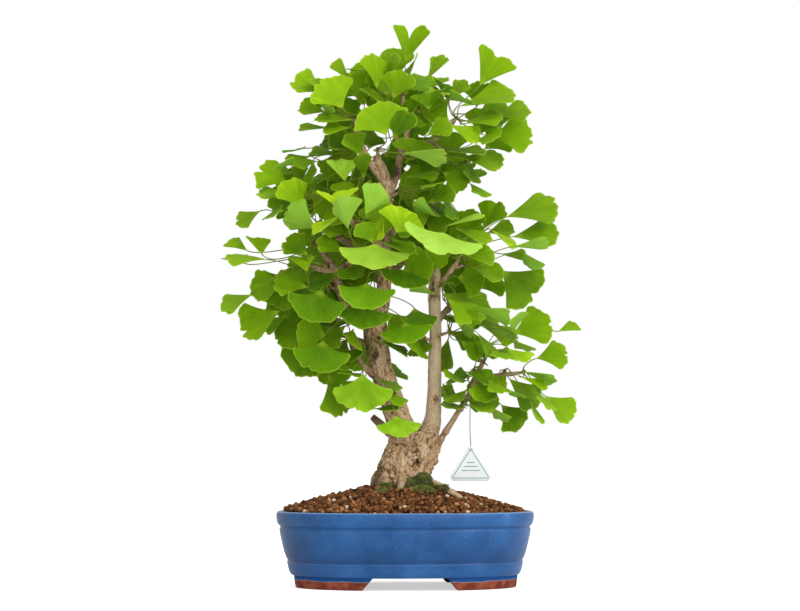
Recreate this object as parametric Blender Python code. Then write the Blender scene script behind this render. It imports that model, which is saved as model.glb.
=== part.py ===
"""Ginkgo bonsai in an oval glazed pot. Blender 4.5, metres, +Z up.

The origin is the middle of the pot's underside, on the surface that it stands on. Places on the
plant are given as seen from the front, in millimetres: x to the right, z up, and depth away from
the eye. place() turns them into the model's frame along the line of sight.
"""

import math

import bmesh
import bpy
from mathutils import Matrix, Vector
from mathutils.bvhtree import BVHTree

MM = 0.001

# The eye that the places are seen from, and how far the pot is turned to it.
EYE = Vector((-5.0, -2400.0, 142.0))
POT_TURN = math.radians(3.5)
RIGHT = Vector((math.cos(POT_TURN), -math.sin(POT_TURN), 0.0))
AWAY = Vector((math.sin(POT_TURN), math.cos(POT_TURN), 0.0))
UP = Vector((0.0, 0.0, 1.0))

# Pot: half width, half depth and height of its outer outline, from the underside up.
POT_SIDES = 48
POT_ROUNDNESS = 2.25
FOOT_HEIGHT = 11.6
FOOT_BAND = 20.0
FOOT_SECTORS = range(1, 9)
FOOT_END_TOP, FOOT_END_BOTTOM, FOOT_END_REACH, FOOT_END_STEP = 36.0, 47.5, 8.0, 2.0
FOOT_TAPER = 0.985
POT_DEPTH_RATIO = 0.78
POT_OUTER = [
    (112.5, 11.6), (115.0, 14.5), (116.6, 20.0), (117.2, 25.0), (116.4, 26.4), (119.2, 31.0),
    (121.5, 38.0), (123.5, 48.0), (125.0, 57.0), (123.8, 59.0), (126.4, 61.0), (128.0, 68.0),
    (128.0, 72.0), (126.2, 74.6), (123.0, 73.6),
]
POT_INNER = [(120.5, 66.0), (115.0, 40.0), (109.0, 18.5)]
DRAIN_X, DRAIN_RADIUS, DRAIN_SIDES = 58.0, 7.5, 20
SCREEN_HALF, SCREEN_THICK = 14.0, 0.8

# Clearance between pieces that touch.
GAP = 0.35

# Soil: a mound that falls from the trunk to the pot's wall.
SOIL_WALL_HEIGHT, SOIL_RISE, SOIL_FALL = 72.0, 31.0, 0.85
SOIL_RINGS = [1.0, 0.9, 0.75, 0.58, 0.42, 0.28, 0.14]
SOIL_CENTRE_X = -4.0

# Trunk base: height, middle, half width and half depth of its sections.
BASE_SECTIONS = [
    (78.0, -4.0, 33.0, 27.0), (90.0, -4.0, 34.0, 29.0), (100.0, -4.5, 32.0, 27.0),
    (112.0, -2.0, 30.0, 25.5), (124.0, 2.5, 30.0, 24.5), (136.0, 7.0, 28.5, 22.5),
    (146.0, 9.4, 26.0, 18.5), (153.0, 10.0, 22.0, 14.0),
]
BASE_SIDES, BASE_FLUTE, BASE_LOBES, BASE_TWIST = 18, 0.03, 5, 0.05
LIMB_SIDES, TWIG_SIDES, THICK_LIMB = 8, 6, 6.0

# Limbs: x, z, depth and radius along each, from its foot to its tip.
LIMBS = {
    "left_trunk": [
        (0, 128, 0, 17), (-2, 150, 0, 14.6), (-8, 170, 0, 12.8), (-13, 184, 0, 12),
        (-18, 198, 0, 11.4), (-22, 211, 0, 11), (-25.5, 226, 0, 11), (-29.5, 254, 0, 12.3),
        (-28, 268, 1, 10.6), (-22.5, 284, 2, 7.6), (-21, 304, 3, 7), (-19.5, 332, 4, 6.4),
        (-18.5, 370, 4, 5.6), (-16.5, 396, 3, 4.6), (-21, 414, 1, 4.6), (-29, 428, -1, 3.6),
    ],
    "broken_top": [(-19, 408, 2, 3.8), (-20, 420, 3, 3.4), (-20, 430, 4, 2.6)],
    "right_trunk": [
        (14, 132, 2, 17), (22, 150, 2, 12.4), (27.3, 164, 2, 8.8), (29, 184, 2, 7.3),
        (29.7, 226, 3, 6.5), (30.4, 254, 3, 5.9), (29.4, 284, 3, 6.3), (30, 302, 3, 6.1),
        (31.5, 310, 3, 4.4), (32, 317, 3, 2.2),
    ],
    "right_bough": [(29, 293, 3, 3.6), (38, 304, 2, 2.8), (45, 313, 0, 2.4), (51, 321, -2, 2.2)],
    "up_left": [
        (-32, 258, 0, 8.6), (-42, 265, -3, 8), (-53, 277, -6, 7), (-62, 290, -8, 6),
        (-69, 303, -10, 5), (-71, 314, -10, 4.4), (-78, 326, -9, 3.6), (-86, 336, -8, 2.8),
    ],
    "low_left": [(-70, 308, -10, 3.6), (-80, 314, -13, 3), (-91, 317, -14, 2.6)],
    "red_spur": [(-70, 311, -10, 3.6), (-63, 317, -11, 3.2), (-56, 321, -12, 3)],
    "thin_left": [(-27, 206, -2, 3.4), (-37, 214, -5, 3.2), (-46, 226, -8, 2.7), (-53, 238, -10, 2.4)],
    "stub": [(-6, 146, -4, 6), (-16, 153, -6, 5), (-25, 161, -7, 4.2), (-33, 168, -8, 3.2)],
    "right_branch": [
        (28, 135, 0, 4.4), (36, 146, 0, 3.3), (50, 168, 0, 2.7), (62, 187, 0, 2.5),
        (70, 202, 0, 2.6), (74, 214, 0, 2.6), (80, 226, 0, 2.2),
    ],
    "right_twig": [(73, 209, 0, 2.2), (84, 209, 1, 1.8), (97, 210, 1, 1.9), (111, 211, 0, 1.8)],
    "crown": [
        (-16, 392, 3, 4.4), (-9, 408, 9, 3.8), (-5, 428, 10, 3.4), (1, 448, 7, 3),
        (1, 466, 4, 2.6), (-2, 484, 2, 2.2),
    ],
    "crown_left": [
        (-18, 396, 3, 3.8), (-27, 410, -2, 3.2), (-36, 424, -5, 3), (-44, 442, -4, 2.7),
        (-49, 460, -1, 2.3),
    ],
    "crown_right": [
        (-4, 430, 10, 3), (10, 438, 11, 2.8), (25, 444, 9, 2.6), (37, 452, 6, 2.4), (46, 461, 4, 2.2),
    ],
    "crown_front": [(-4, 432, 9, 2.8), (-8, 446, -2, 2.5), (-11, 460, -11, 2.2)],
    "back_right": [
        (-18, 350, 5, 4.6), (4, 364, 22, 3.8), (26, 382, 33, 3.2), (44, 400, 34, 2.8), (57, 416, 30, 2.3),
    ],
    "front_left": [
        (-19, 334, 3, 4.6), (-33, 346, -14, 3.8), (-47, 357, -24, 3.2), (-59, 370, -25, 2.8),
        (-72, 384, -22, 2.3),
    ],
    "back_left": [
        (-20, 312, 5, 4.8), (-36, 326, 26, 3.8), (-58, 342, 42, 3.2), (-82, 356, 50, 2.4),
    ],
    "back_middle": [(-20, 306, 5, 4.4), (-6, 318, 34, 3.4), (6, 336, 58, 2.6)],
    "low_back": [(-26, 232, 3, 4.4), (-42, 242, 30, 3.4), (-64, 250, 52, 2.4)],
    "right_back": [(30, 262, 4, 3.8), (44, 276, 26, 3), (64, 290, 46, 2.4)],
}

# Roots: the one that shows, and those that hold the tree in the soil.
ROOTS = {
    "pale_root": [
        (8, 104, -14, 6), (20, 105, -24, 4.6), (33, 101, -31, 4), (45, 94, -37, 3.6), (58, 86, -42, 2.8),
    ],
    "root_left": [(-20, 92, 0, 9), (-44, 76, 4, 6), (-72, 62, 8, 3.6)],
    "root_right": [(12, 92, 4, 9), (38, 74, 12, 6), (70, 58, 20, 3.6)],
    "root_front": [(-10, 90, -10, 8), (-18, 74, -34, 5.5), (-30, 58, -56, 3.2)],
    "root_back": [(2, 90, 10, 8), (8, 72, 36, 5.5), (14, 56, 58, 3.2)],
}

SPUR_RADII, SPUR_SIDES = (2.1, 1.3), 5

# Leaves: base x, z and depth, heading in degrees, length and width as seen, the face that shows
# (u is the upper one, p the pale one below) and how far the two halves fold up.
# Each spur gives its tip and the point of the wood that it grows from.
SPURS = {
    "leaves_crown_top": ((-2, 489, 2), (-2, 480, 2), [
        (1, 524, 0, 64, 38, 37, "u", 0.8), (-2, 496, -28, 25, 25, 20, "p", 0.1),
        (5, 512, 22, 80, 16, 14, "u", 0.1), (-20, 503, -4, 75, 32, 26, "u", 0.2),
        (-28, 497, -12, 97, 36, 28, "u", 0.2)]),
    "leaves_crown_front": ((-13, 465, -15), (-9, 454, -8), [
        (-12, 487, -34, 68, 30, 38, "u", 0.1), (-35, 516, 6, 165, 16, 15, "u", 0.1),
        (-25, 482, -18, 120, 20, 18, "u", 0.1), (-55, 505, 4, 128, 22, 13, "u", 0.1)]),
    "leaves_crown_back": ((6, 458, 14), (1, 452, 6), [
        (-12, 500, 44, 110, 26, 40, "u", 0.1), (22, 496, 46, 60, 28, 44, "u", 0.1),
        (4, 470, 62, -70, 26, 46, "u", 0.1), (-30, 462, 52, 180, 30, 38, "u", 0.1)]),
    "leaves_crown_right": ((9, 474, 1), (1, 466, 4), [
        (20, 493, -14, 15, 18, 18, "u", 0.1), (22, 507, 0, 45, 26, 22, "u", 0.1),
        (24, 476, -36, 82, 17, 36, "p", 0.5), (46, 486, -12, 0, 14, 14, "p", 0.1)]),
    "leaves_right_top": ((50, 466, 4), (45, 460, 4), [
        (75, 500, 4, 50, 38, 48, "u", 0.1), (43, 485, 24, 105, 17, 22, "p", 0.1),
        (45, 486, 2, 52, 26, 20, "u", 0.1), (56, 480, -10, 16, 56, 42, "u", 0.1),
        (60, 462, -26, 12, 38, 20, "p", 0.1), (94, 458, -22, 60, 14, 27, "u", 0.3),
        (88, 449, -8, 4, 40, 50, "u", 0.1)]),
    "leaves_right_high": ((29, 449, 4), (25, 444, 9), [
        (22, 450, -18, 30, 27, 28, "u", 0.1), (45, 461, -40, -25, 30, 13, "u", 0.2),
        (42, 434, -12, 0, 38, 10, "u", 0.1), (72, 446, -32, 0, 20, 20, "u", 0.1),
        (8, 426, 24, 90, 22, 50, "u", 0.1)]),
    "leaves_right_mid": ((35, 437, 12), (27, 444, 9), [
        (55, 428, -12, -6, 44, 31, "u", 0.1), (63, 425, 22, -75, 24, 18, "u", 0.1),
        (38, 413, 4, -30, 28, 38, "u", 0.1), (65, 402, 8, -42, 22, 16, "u", 0.1)]),
    "leaves_back_right_tip": ((62, 421, 29), (56, 415, 30), [
        (80, 436, 46, 40, 30, 42, "u", 0.1), (74, 450, 52, 70, 30, 44, "u", 0.1),
        (52, 404, 52, -60, 30, 40, "u", 0.1), (60, 400, 62, -80, 28, 48, "u", 0.1)]),
    "leaves_back_right_mid": ((28, 388, 40), (26, 382, 33), [
        (20, 410, 66, 100, 30, 48, "u", 0.1), (50, 376, 66, -70, 30, 44, "u", 0.1),
        (8, 378, 68, -110, 26, 50, "u", 0.1), (40, 404, 58, 40, 30, 40, "u", 0.1)]),
    "leaves_left_top": ((-52, 466, 1), (-48, 458, -1), [
        (-80, 494, 18, 170, 32, 30, "u", 0.1), (-78, 488, 8, 115, 24, 28, "u", 0.1),
        (-62, 477, -30, 118, 32, 54, "u", 0.1), (-80, 474, 2, 168, 27, 26, "u", 0.1),
        (-77, 470, -18, 110, 14, 17, "p", 0.1), (-52, 466, -18, 178, 38, 18, "u", 0.1)]),
    "leaves_left_high": ((-51, 446, -8), (-44, 443, -4), [
        (-75, 458, 2, 187, 28, 8, "u", 0.1), (-56, 458, -30, 187, 26, 18, "u", 0.1),
        (-56, 438, 8, 172, 30, 16, "u", 0.1), (-56, 444, 34, 150, 24, 36, "u", 0.1)]),
    "leaves_left_shoulder": ((-41, 427, -8), (-35, 422, -5), [
        (-60, 431, 16, 180, 38, 14, "u", 0.1), (-100, 437, 0, 180, 15, 8, "u", 0.1),
        (-88, 424, -10, 185, 25, 20, "u", 0.1), (-92, 425, 8, 262, 24, 16, "u", 0.1),
        (-60, 404, -44, 118, 20, 30, "u", 0.5)]),
    "leaves_left_back": ((-36, 418, 4), (-28, 411, -2), [
        (-48, 400, 36, 190, 30, 44, "u", 0.1), (-40, 436, 46, 130, 28, 44, "u", 0.1)]),
    "leaves_trunk_top": ((-27, 434, -6), (-25, 421, 0), [
        (-19, 450, -44, 103, 29, 60, "u", 0.1), (-12, 446, -24, 60, 32, 36, "u", 0.1),
        (-2, 432, -34, -4, 42, 8, "u", 0.1)]),
    "leaves_dark_spur": ((-7, 392, -5), (-15, 388, 2), [
        (2, 408, -4, 8, 32, 13, "u", 0.1), (4, 391, 0, -28, 40, 15, "u", 0.1),
        (31, 369, -36, 152, 26, 13, "p", 0.1), (35, 393, -10, -58, 32, 14, "u", 0.1),
        (14, 399, -18, 0, 16, 8, "u", 0.1)]),
    "leaves_left_wing": ((-76, 389, -20), (-70, 382, -22), [
        (-118, 401, -12, 150, 34, 38, "u", 0.1), (-113, 421, -2, 190, 12, 9, "p", 0.1),
        (-114, 390, -26, 178, 32, 11, "p", 0.1), (-103, 376, -38, 118, 30, 31, "u", 0.1),
        (-89, 401, 0, 45, 19, 17, "u", 0.1), (-122, 381, -16, 228, 20, 12, "u", 0.1)]),
    "leaves_left_fold": ((-62, 377, -30), (-58, 369, -25), [
        (-66, 376, -62, 115, 18, 42, "u", 0.6), (-50, 388, -18, 140, 24, 22, "u", 0.1),
        (-88, 356, -34, 137, 38, 46, "p", 0.1), (-66, 369, -70, 213, 32, 14, "u", 0.1)]),
    "leaves_middle_left": ((-48, 361, -31), (-45, 355, -23), [
        (-57, 356, -54, 108, 32, 32, "p", 0.3), (-40, 370, -58, 80, 25, 42, "p", 0.2),
        (-30, 352, -18, 95, 28, 30, "u", 0.1), (-21, 368, -50, 243, 27, 24, "u", 0.2),
        (-52, 352, -12, 170, 30, 20, "u", 0.1)]),
    "leaves_middle": ((-13, 346, -5), (-19, 338, 3), [
        (-9, 352, -52, 60, 26, 52, "u", 0.3), (12, 338, -26, 155, 32, 18, "u", 0.1),
        (-25, 343, -46, -15, 38, 16, "u", 0.1)]),
    "leaves_left_far": ((-90, 340, -8), (-84, 334, -8), [
        (-145, 374, -20, 208, 27, 23, "u", 0.1), (-158, 334, -30, 145, 18, 12, "u", 0.1),
        (-143, 330, -40, 125, 18, 22, "p", 0.1), (-97, 329, -24, 105, 17, 34, "u", 0.1)]),
    "leaves_left_far_low": ((-96, 319, -15), (-89, 316, -14), [
        (-138, 325, -48, 179, 36, 12, "p", 0.1), (-160, 321, -30, 155, 18, 16, "u", 0.1),
        (-118, 304, -12, 199, 38, 38, "u", 0.1), (-97, 297, -28, 165, 34, 34, "u", 0.1),
        (-153, 290, -20, 205, 30, 25, "u", 0.1)]),
    "leaves_left_curl": ((-80, 319, -17), (-79, 313, -13), [
        (-93, 323, -42, 145, 15, 10, "u", 0.1), (-98, 313, -54, 98, 10, 16, "p", 0.5),
        (-92, 324, 10, 183, 26, 20, "u", 0.1)]),
    "leaves_left_low": ((-73, 297, -13), (-65, 295, -9), [
        (-125, 274, -24, 210, 44, 44, "u", 0.1), (-118, 270, -8, 220, 28, 20, "u", 0.1),
        (-84, 295, -56, -115, 32, 62, "u", 0.1)]),
    "leaves_red_spur": ((-50, 323, -13), (-58, 320, -12), [
        (-66, 312, -26, 205, 34, 28, "u", 0.1), (-42, 312, -26, 195, 22, 17, "u", 0.1),
        (-30, 341, -64, -88, 21, 68, "u", 0.1)]),
    "leaves_middle_front": ((-21, 318, -8), (-20, 312, 2), [
        (-38, 302, -66, -95, 27, 58, "u", 0.1), (2, 316, -52, -104, 20, 54, "u", 0.1)]),
    "leaves_front_low": ((-35, 283, -13), (-27, 274, -3), [
        (-40, 281, -52, -98, 25, 56, "u", 0.1), (9, 277, -20, -50, 25, 36, "u", 0.1),
        (0, 262, -46, -72, 22, 52, "u", 0.1)]),
    "leaves_left_under": ((-57, 264, -18), (-50, 271, -6), [
        (-82, 244, -46, -97, 32, 60, "u", 0.1), (-95, 262, -16, 206, 38, 38, "u", 0.1),
        (-68, 268, -6, 215, 34, 24, "u", 0.1)]),
    "leaves_thin_left": ((-56, 243, -13), (-52, 236, -10), [
        (-78, 240, -14, -40, 36, 26, "u", 0.1), (-90, 240, -8, 230, 36, 52, "u", 0.1),
        (-52, 255, -22, -80, 18, 20, "u", 0.1), (-76, 210, -6, -63, 40, 34, "u", 0.1)]),
    "leaves_trunk_knot": ((-35, 233, -17), (-30, 229, -8), [
        (-42, 211, -48, -92, 37, 64, "u", 0.1), (-29, 246, -30, -28, 36, 9, "u", 0.1),
        (-44, 211, -22, 185, 12, 8, "u", 0.1)]),
    "leaves_trunk_low": ((-12, 191, -19), (-14, 187, -8), [
        (-20, 196, -30, -50, 22, 16, "u", 0.1), (-30, 206, -30, -22, 28, 9, "u", 0.1),
        (-9, 169, -48, -75, 21, 46, "u", 0.1), (-30, 176, -28, 0, 22, 10, "u", 0.1)]),
    "leaves_low_back": ((-69, 252, 54), (-63, 250, 51), [
        (-88, 236, 66, 205, 26, 44, "u", 0.1), (-72, 228, 74, -90, 30, 44, "u", 0.1),
        (-84, 268, 66, 150, 30, 44, "u", 0.1), (-52, 240, 78, -50, 30, 44, "u", 0.1)]),
    "leaves_back_left_tip": ((-87, 359, 52), (-81, 355, 50), [
        (-82, 352, 66, 200, 24, 40, "u", 0.1), (-92, 376, 70, 110, 30, 44, "u", 0.1),
        (-78, 336, 78, -80, 30, 50, "u", 0.1), (-72, 366, 82, 40, 28, 40, "u", 0.1)]),
    "leaves_back_left_mid": ((-54, 346, 47), (-57, 341, 41), [
        (-50, 372, 66, 80, 30, 48, "u", 0.1), (-40, 330, 74, -60, 30, 50, "u", 0.1),
        (-86, 318, 56, 215, 30, 44, "u", 0.1)]),
    "leaves_back_left_low": ((-32, 322, 32), (-34, 324, 25), [
        (-52, 300, 48, -120, 32, 52, "u", 0.1), (-38, 290, 36, -100, 26, 44, "u", 0.1)]),
    "leaves_back_middle": ((8, 341, 62), (6, 335, 57), [
        (-10, 352, 78, 130, 28, 46, "u", 0.1), (16, 330, 84, -70, 30, 52, "u", 0.1),
        (24, 354, 74, 40, 28, 44, "u", 0.1), (-12, 326, 74, -120, 26, 44, "u", 0.1)]),
    "leaves_bough": ((54, 326, -5), (50, 319, -1), [
        (42, 359, -34, 17, 38, 11, "u", 0.1), (50, 357, -18, -18, 38, 20, "u", 0.1),
        (78, 355, 12, 50, 36, 36, "u", 0.1), (87, 355, -20, -38, 30, 13, "u", 0.1),
        (108, 338, -24, 5, 36, 11, "p", 0.1), (40, 352, -64, -75, 20, 80, "u", 0.1)]),
    "leaves_bough_right": ((57, 319, 1), (50, 317, -1), [
        (102, 368, 22, 18, 47, 42, "u", 0.1), (108, 348, 2, 6, 42, 36, "u", 0.1),
        (96, 331, 8, -12, 28, 14, "u", 0.1), (118, 333, -12, -50, 22, 15, "p", 0.1),
        (97, 314, -6, -28, 42, 50, "u", 0.1), (66, 318, -14, -18, 34, 24, "u", 0.1),
        (58, 322, 18, -105, 24, 30, "u", 0.1)]),
    "leaves_right_stump": ((36, 300, -5), (31, 296, 2), [
        (38, 291, -14, -12, 50, 30, "u", 0.1), (62, 280, -26, -24, 46, 10, "p", 0.1),
        (30, 290, -14, 165, 24, 9, "p", 0.1)]),
    "leaves_right_back_tip": ((69, 293, 48), (63, 289, 45), [
        (88, 302, 62, 30, 30, 44, "u", 0.1), (78, 276, 68, -50, 30, 46, "u", 0.1),
        (64, 314, 70, 90, 28, 44, "u", 0.1), (76, 296, 58, 25, 26, 38, "u", 0.1)]),
    "leaves_right_back_mid": ((43, 285, 21), (44, 277, 26), [
        (62, 274, 26, -20, 36, 20, "u", 0.1), (60, 268, 16, 195, 18, 18, "u", 0.1),
        (40, 304, 42, 90, 26, 38, "u", 0.1)]),
    "leaves_right_knot": ((43, 252, -1), (31, 248, 3), [
        (74, 260, -12, -18, 42, 24, "u", 0.1), (46, 270, -16, -45, 32, 9, "p", 0.1),
        (72, 252, -28, -52, 32, 15, "u", 0.1), (66, 254, 2, -60, 34, 22, "u", 0.1),
        (43, 246, 18, -98, 34, 26, "u", 0.1), (108, 251, -6, 18, 40, 46, "u", 0.1)]),
    "leaves_trunk_gap": ((21, 246, -5), (29, 242, 2), [
        (10, 247, -10, -80, 18, 22, "u", 0.1)]),
    "leaves_right_tip": ((82, 231, -1), (79, 224, 0), [
        (86, 234, -18, -30, 16, 15, "u", 0.1), (107, 252, 8, 68, 21, 17, "p", 0.1),
        (153, 253, 34, 24, 23, 17, "u", 0.1), (103, 236, -24, -35, 22, 20, "u", 0.1),
        (107, 245, -14, -30, 20, 9, "p", 0.1), (88, 232, 16, -10, 24, 14, "u", 0.1)]),
    "leaves_right_fork": ((70, 214, -6), (74, 211, 0), [
        (71, 223, -14, 92, 11, 28, "u", 0.1), (60, 213, -22, -20, 30, 19, "u", 0.1),
        (83, 205, -8, -42, 20, 18, "u", 0.1), (62, 204, -10, 172, 19, 12, "u", 0.1)]),
    "leaves_right_twig": ((99, 213, -5), (97, 210, 1), [
        (104, 206, -10, -45, 40, 34, "u", 0.1), (125, 184, -26, -68, 23, 10, "u", 0.1),
        (102, 195, -28, -22, 18, 6, "p", 0.1)]),
    "leaves_right_twig_tip": ((116, 212, -1), (110, 211, 0), [
        (131, 226, -4, 12, 32, 32, "u", 0.1), (118, 213, -18, -15, 34, 10, "p", 0.1),
        (116, 208, -30, -25, 28, 12, "u", 0.1), (139, 189, -2, -38, 37, 32, "u", 0.1),
        (134, 192, -16, -62, 18, 15, "u", 0.1)]),
    "leaves_right_low": ((58, 182, -5), (60, 181, 0), [
        (62, 195, 8, 215, 22, 15, "u", 0.1), (66, 184, -12, 22, 28, 20, "u", 0.1),
        (64, 180, -26, -22, 20, 10, "u", 0.1), (96, 180, -6, -48, 31, 36, "u", 0.1),
        (83, 179, -20, -40, 24, 11, "p", 0.1)]),
    "leaves_right_inner": ((56, 175, 5), (56, 175, 0), [
        (38, 183, 12, -30, 14, 13, "u", 0.1), (38, 200, 14, -80, 17, 8, "u", 0.1)]),
}

# Leaf blade: limits of the fan's half angle, how much of a narrow view is a narrow fan rather than
# a turned one, the part of the angle that the neck has, thickness, and how the blade bends.
FAN_NARROWEST, FAN_WIDEST, FAN_YIELD = math.radians(36), math.radians(64), 0.6
BLADE_NECK = 0.45
LEAST_LEAF = 26.0
BLADE_HALF_THICK = 0.38
PETIOLE_HALF_THICK = 0.55
DROOP = 0.12
BLADE_ROWS = (0.12, 0.55, 1.0)
BUD_RADIUS, BUD_HEIGHT, BUD_CLEAR, BUD_LEAST_SIDES = 1.9, 2.6, 1.0, 3

# A leaf nearer to level than this, as the sine of its heading, leans by its depth.
LEVEL_HEADING = 0.25

# Stalk: how far it runs straight out of the bud, and the parts of its reach that it takes to turn.
STALK_START, STALK_LEAVE, STALK_ARRIVE = 1.5, 0.22, 0.3

# Room that the layout keeps, and what it tries in turn to find it.
BLADE_ROOM, PETIOLE_ROOM, WOOD_ROOM = 1.25, 1.5, 1.2
DEPTH_TRIES = [0, 4, -4, 8, -8, 12, -12, 16, -16, 21, -21, 27, -27]
SIZE_TRIES = [1.0, 0.85, 0.7]
BOW_TRIES = [0.0, 0.18, 0.36, 0.6]
BOW_SIDES = 8
PATH_STEPS = 10
PETIOLE_CUTS = 3
ROUTE_SIDES, ROUTE_RADIUS = 5, 0.05
TEST_SIDES, TEST_BUD_SWELL, TEST_HALVES = 6, 1.2, 3
STALK_CORNERS = [(1, 1), (-1, 1), (-1, -1), (1, -1)]

# Tag and the wire that it hangs from.
TAG_APEX, TAG_BASE_Z, TAG_HALF, TAG_THICK = (65.5, 138.0), 104.0, 20.5, 0.6
TAG_CORNER, TAG_ARC_STEPS = 4.0, 4
TAG_DEPTH = -9.0
WIRE_RADIUS, WIRE_STEPS = 0.4, 3
WIRE_ROUTE = [
    (65.0, 180.5), (64.9, 172.0), (64.7, 163.0), (64.8, 153.0), (65.2, 145.0), (65.5, 138.4),
]

# Moss: middle, half size and height of each clump on the soil.
MOSS = {
    "moss_front": (17.0, -33.0, 15.0, 6.5, 7.0),
    "moss_side": (-24.0, -33.0, 8.0, 5.0, 4.0),
}
MOSS_SIDES, MOSS_LIFT = 14, 0.8
MOSS_ROWS = [(0.85, 0.0), (1.0, 0.3), (0.8, 0.75), (0.4, 1.0)]


def clear_scene():
    for obj in list(bpy.data.objects):
        bpy.data.objects.remove(obj, do_unlink=True)


def place(x, z, depth):
    """The point, in millimetres, that lies at this depth behind the point seen at x, z."""
    seen = EYE + (Vector((x, 0.0, z)) - EYE) * (1.0 - depth / EYE.y)
    return RIGHT * seen.x + AWAY * seen.y + UP * seen.z


def material(name, colour, roughness, metallic=0.0):
    made = bpy.data.materials.new(name)
    made.use_nodes = True
    shader = made.node_tree.nodes["Principled BSDF"]
    shader.inputs["Base Color"].default_value = (*colour, 1.0)
    shader.inputs["Roughness"].default_value = roughness
    shader.inputs["Metallic"].default_value = metallic
    return made


def finish(bm, name, finish_material, smooth=True):
    """Makes an object of a bmesh that is in millimetres."""
    bmesh.ops.scale(bm, vec=(MM, MM, MM), verts=bm.verts)
    mesh = bpy.data.meshes.new(name)
    bm.to_mesh(mesh)
    bm.free()
    if smooth:
        mesh.shade_smooth()
        mesh.set_sharp_from_angle(angle=math.radians(40))
    mesh.materials.append(finish_material)
    obj = bpy.data.objects.new(name, mesh)
    bpy.context.scene.collection.objects.link(obj)
    return obj


def hide(obj):
    obj.hide_render = True
    obj.display_type = "WIRE"


def boolean(obj, other, operation):
    modifier = obj.modifiers.new(operation.title(), "BOOLEAN")
    modifier.operation = operation
    modifier.solver = "EXACT"
    if isinstance(other, bpy.types.Collection):
        modifier.operand_type = "COLLECTION"
        modifier.collection = other
    else:
        modifier.object = other


def loft(bm, rings):
    """Closes a solid through rings of points, all with the same number."""
    rows = [[bm.verts.new(point) for point in ring] for ring in rings]
    count = len(rows[0])
    for low, high in zip(rows, rows[1:]):
        for i in range(count):
            j = (i + 1) % count
            bm.faces.new((low[i], low[j], high[j], high[i]))
    bm.faces.new(reversed(rows[0]))
    bm.faces.new(rows[-1])
    return rows


def oval(half_width, half_depth, height, sides=POT_SIDES, middle=(0.0, 0.0)):
    """A ring of points on the pot's rounded outline."""
    power = 2.0 / POT_ROUNDNESS
    ring = []
    for i in range(sides):
        angle = (i + 0.5) * math.tau / sides
        c, s = math.cos(angle), math.sin(angle)
        x = half_width * math.copysign(abs(c) ** power, c)
        y = half_depth * math.copysign(abs(s) ** power, s)
        ring.append(Vector((middle[0] + x, middle[1] + y, height)))
    return ring


def pot_depth(half_width):
    """Half depth of the pot where it is this wide: the wall leans the same on every side."""
    return half_width - POT_OUTER[-3][0] * (1.0 - POT_DEPTH_RATIO)


def is_foot_sector(sector):
    """The sectors of a foot lie the same way from both ends of the pot."""
    half_turn = POT_SIDES // 2
    step = sector % half_turn
    return step in FOOT_SECTORS or half_turn - 2 - step in FOOT_SECTORS


def make_pot():
    bm = bmesh.new()
    first = POT_OUTER[0][0] - FOOT_BAND
    rings = [oval(first, pot_depth(first), FOOT_HEIGHT)]
    for half, height in POT_OUTER + POT_INNER:
        rings.append(oval(half, pot_depth(half), height))
    rows = loft(bm, rings)
    add_feet(bm, rows[0], rows[1])
    pot = finish(bm, "pot", material("blue_glaze", (0.044, 0.14, 0.38), 0.25))
    for side, x in (("left", -DRAIN_X), ("right", DRAIN_X)):
        cutter = bmesh.new()
        bmesh.ops.create_cone(
            cutter, cap_ends=True, segments=DRAIN_SIDES, radius1=DRAIN_RADIUS, radius2=DRAIN_RADIUS,
            depth=4 * FOOT_HEIGHT, matrix=Matrix.Translation((x, 0.0, FOOT_HEIGHT)),
        )
        hole = finish(cutter, f"cutter_{side}", pot.data.materials[0])
        hide(hole)
        boolean(pot, hole, "DIFFERENCE")


def add_feet(bm, inner, outer):
    """Draws the foot sectors of the underside down to the ground, with slanted ends."""
    sectors = []
    for i in range(POT_SIDES):
        j = (i + 1) % POT_SIDES
        if is_foot_sector(i):
            corners = {inner[i], inner[j], outer[i], outer[j]}
            sectors.append(next(f for f in inner[i].link_faces if set(f.verts) == corners))
    for vert in inner + outer:
        if abs(abs(vert.co.x) - FOOT_END_TOP) < FOOT_END_REACH:
            vert.co.x = math.copysign(FOOT_END_TOP, vert.co.x)
    made = bmesh.ops.extrude_face_region(bm, geom=sectors)
    bmesh.ops.delete(bm, geom=sectors, context="FACES_ONLY")
    for vert in made["geom"]:
        if isinstance(vert, bmesh.types.BMVert):
            if abs(vert.co.x) < FOOT_END_TOP + GAP:
                vert.co.x = math.copysign(FOOT_END_BOTTOM, vert.co.x)
            elif abs(vert.co.x) < FOOT_END_BOTTOM:
                vert.co.x = math.copysign(FOOT_END_BOTTOM + FOOT_END_STEP, vert.co.x)
            vert.co = Vector((vert.co.x * FOOT_TAPER, vert.co.y * FOOT_TAPER, 0.0))
    bmesh.ops.recalc_face_normals(bm, faces=bm.faces)


def soil_height(x, y):
    """Height of the soil's surface at a point in the pot."""
    top = POT_INNER[0][0]
    reach = ((abs(x - SOIL_CENTRE_X) / top) ** POT_ROUNDNESS
             + (abs(y) / pot_depth(top)) ** POT_ROUNDNESS) ** (1 / POT_ROUNDNESS)
    return SOIL_WALL_HEIGHT + SOIL_RISE * max(0.0, 1.0 - reach) ** SOIL_FALL


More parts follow.
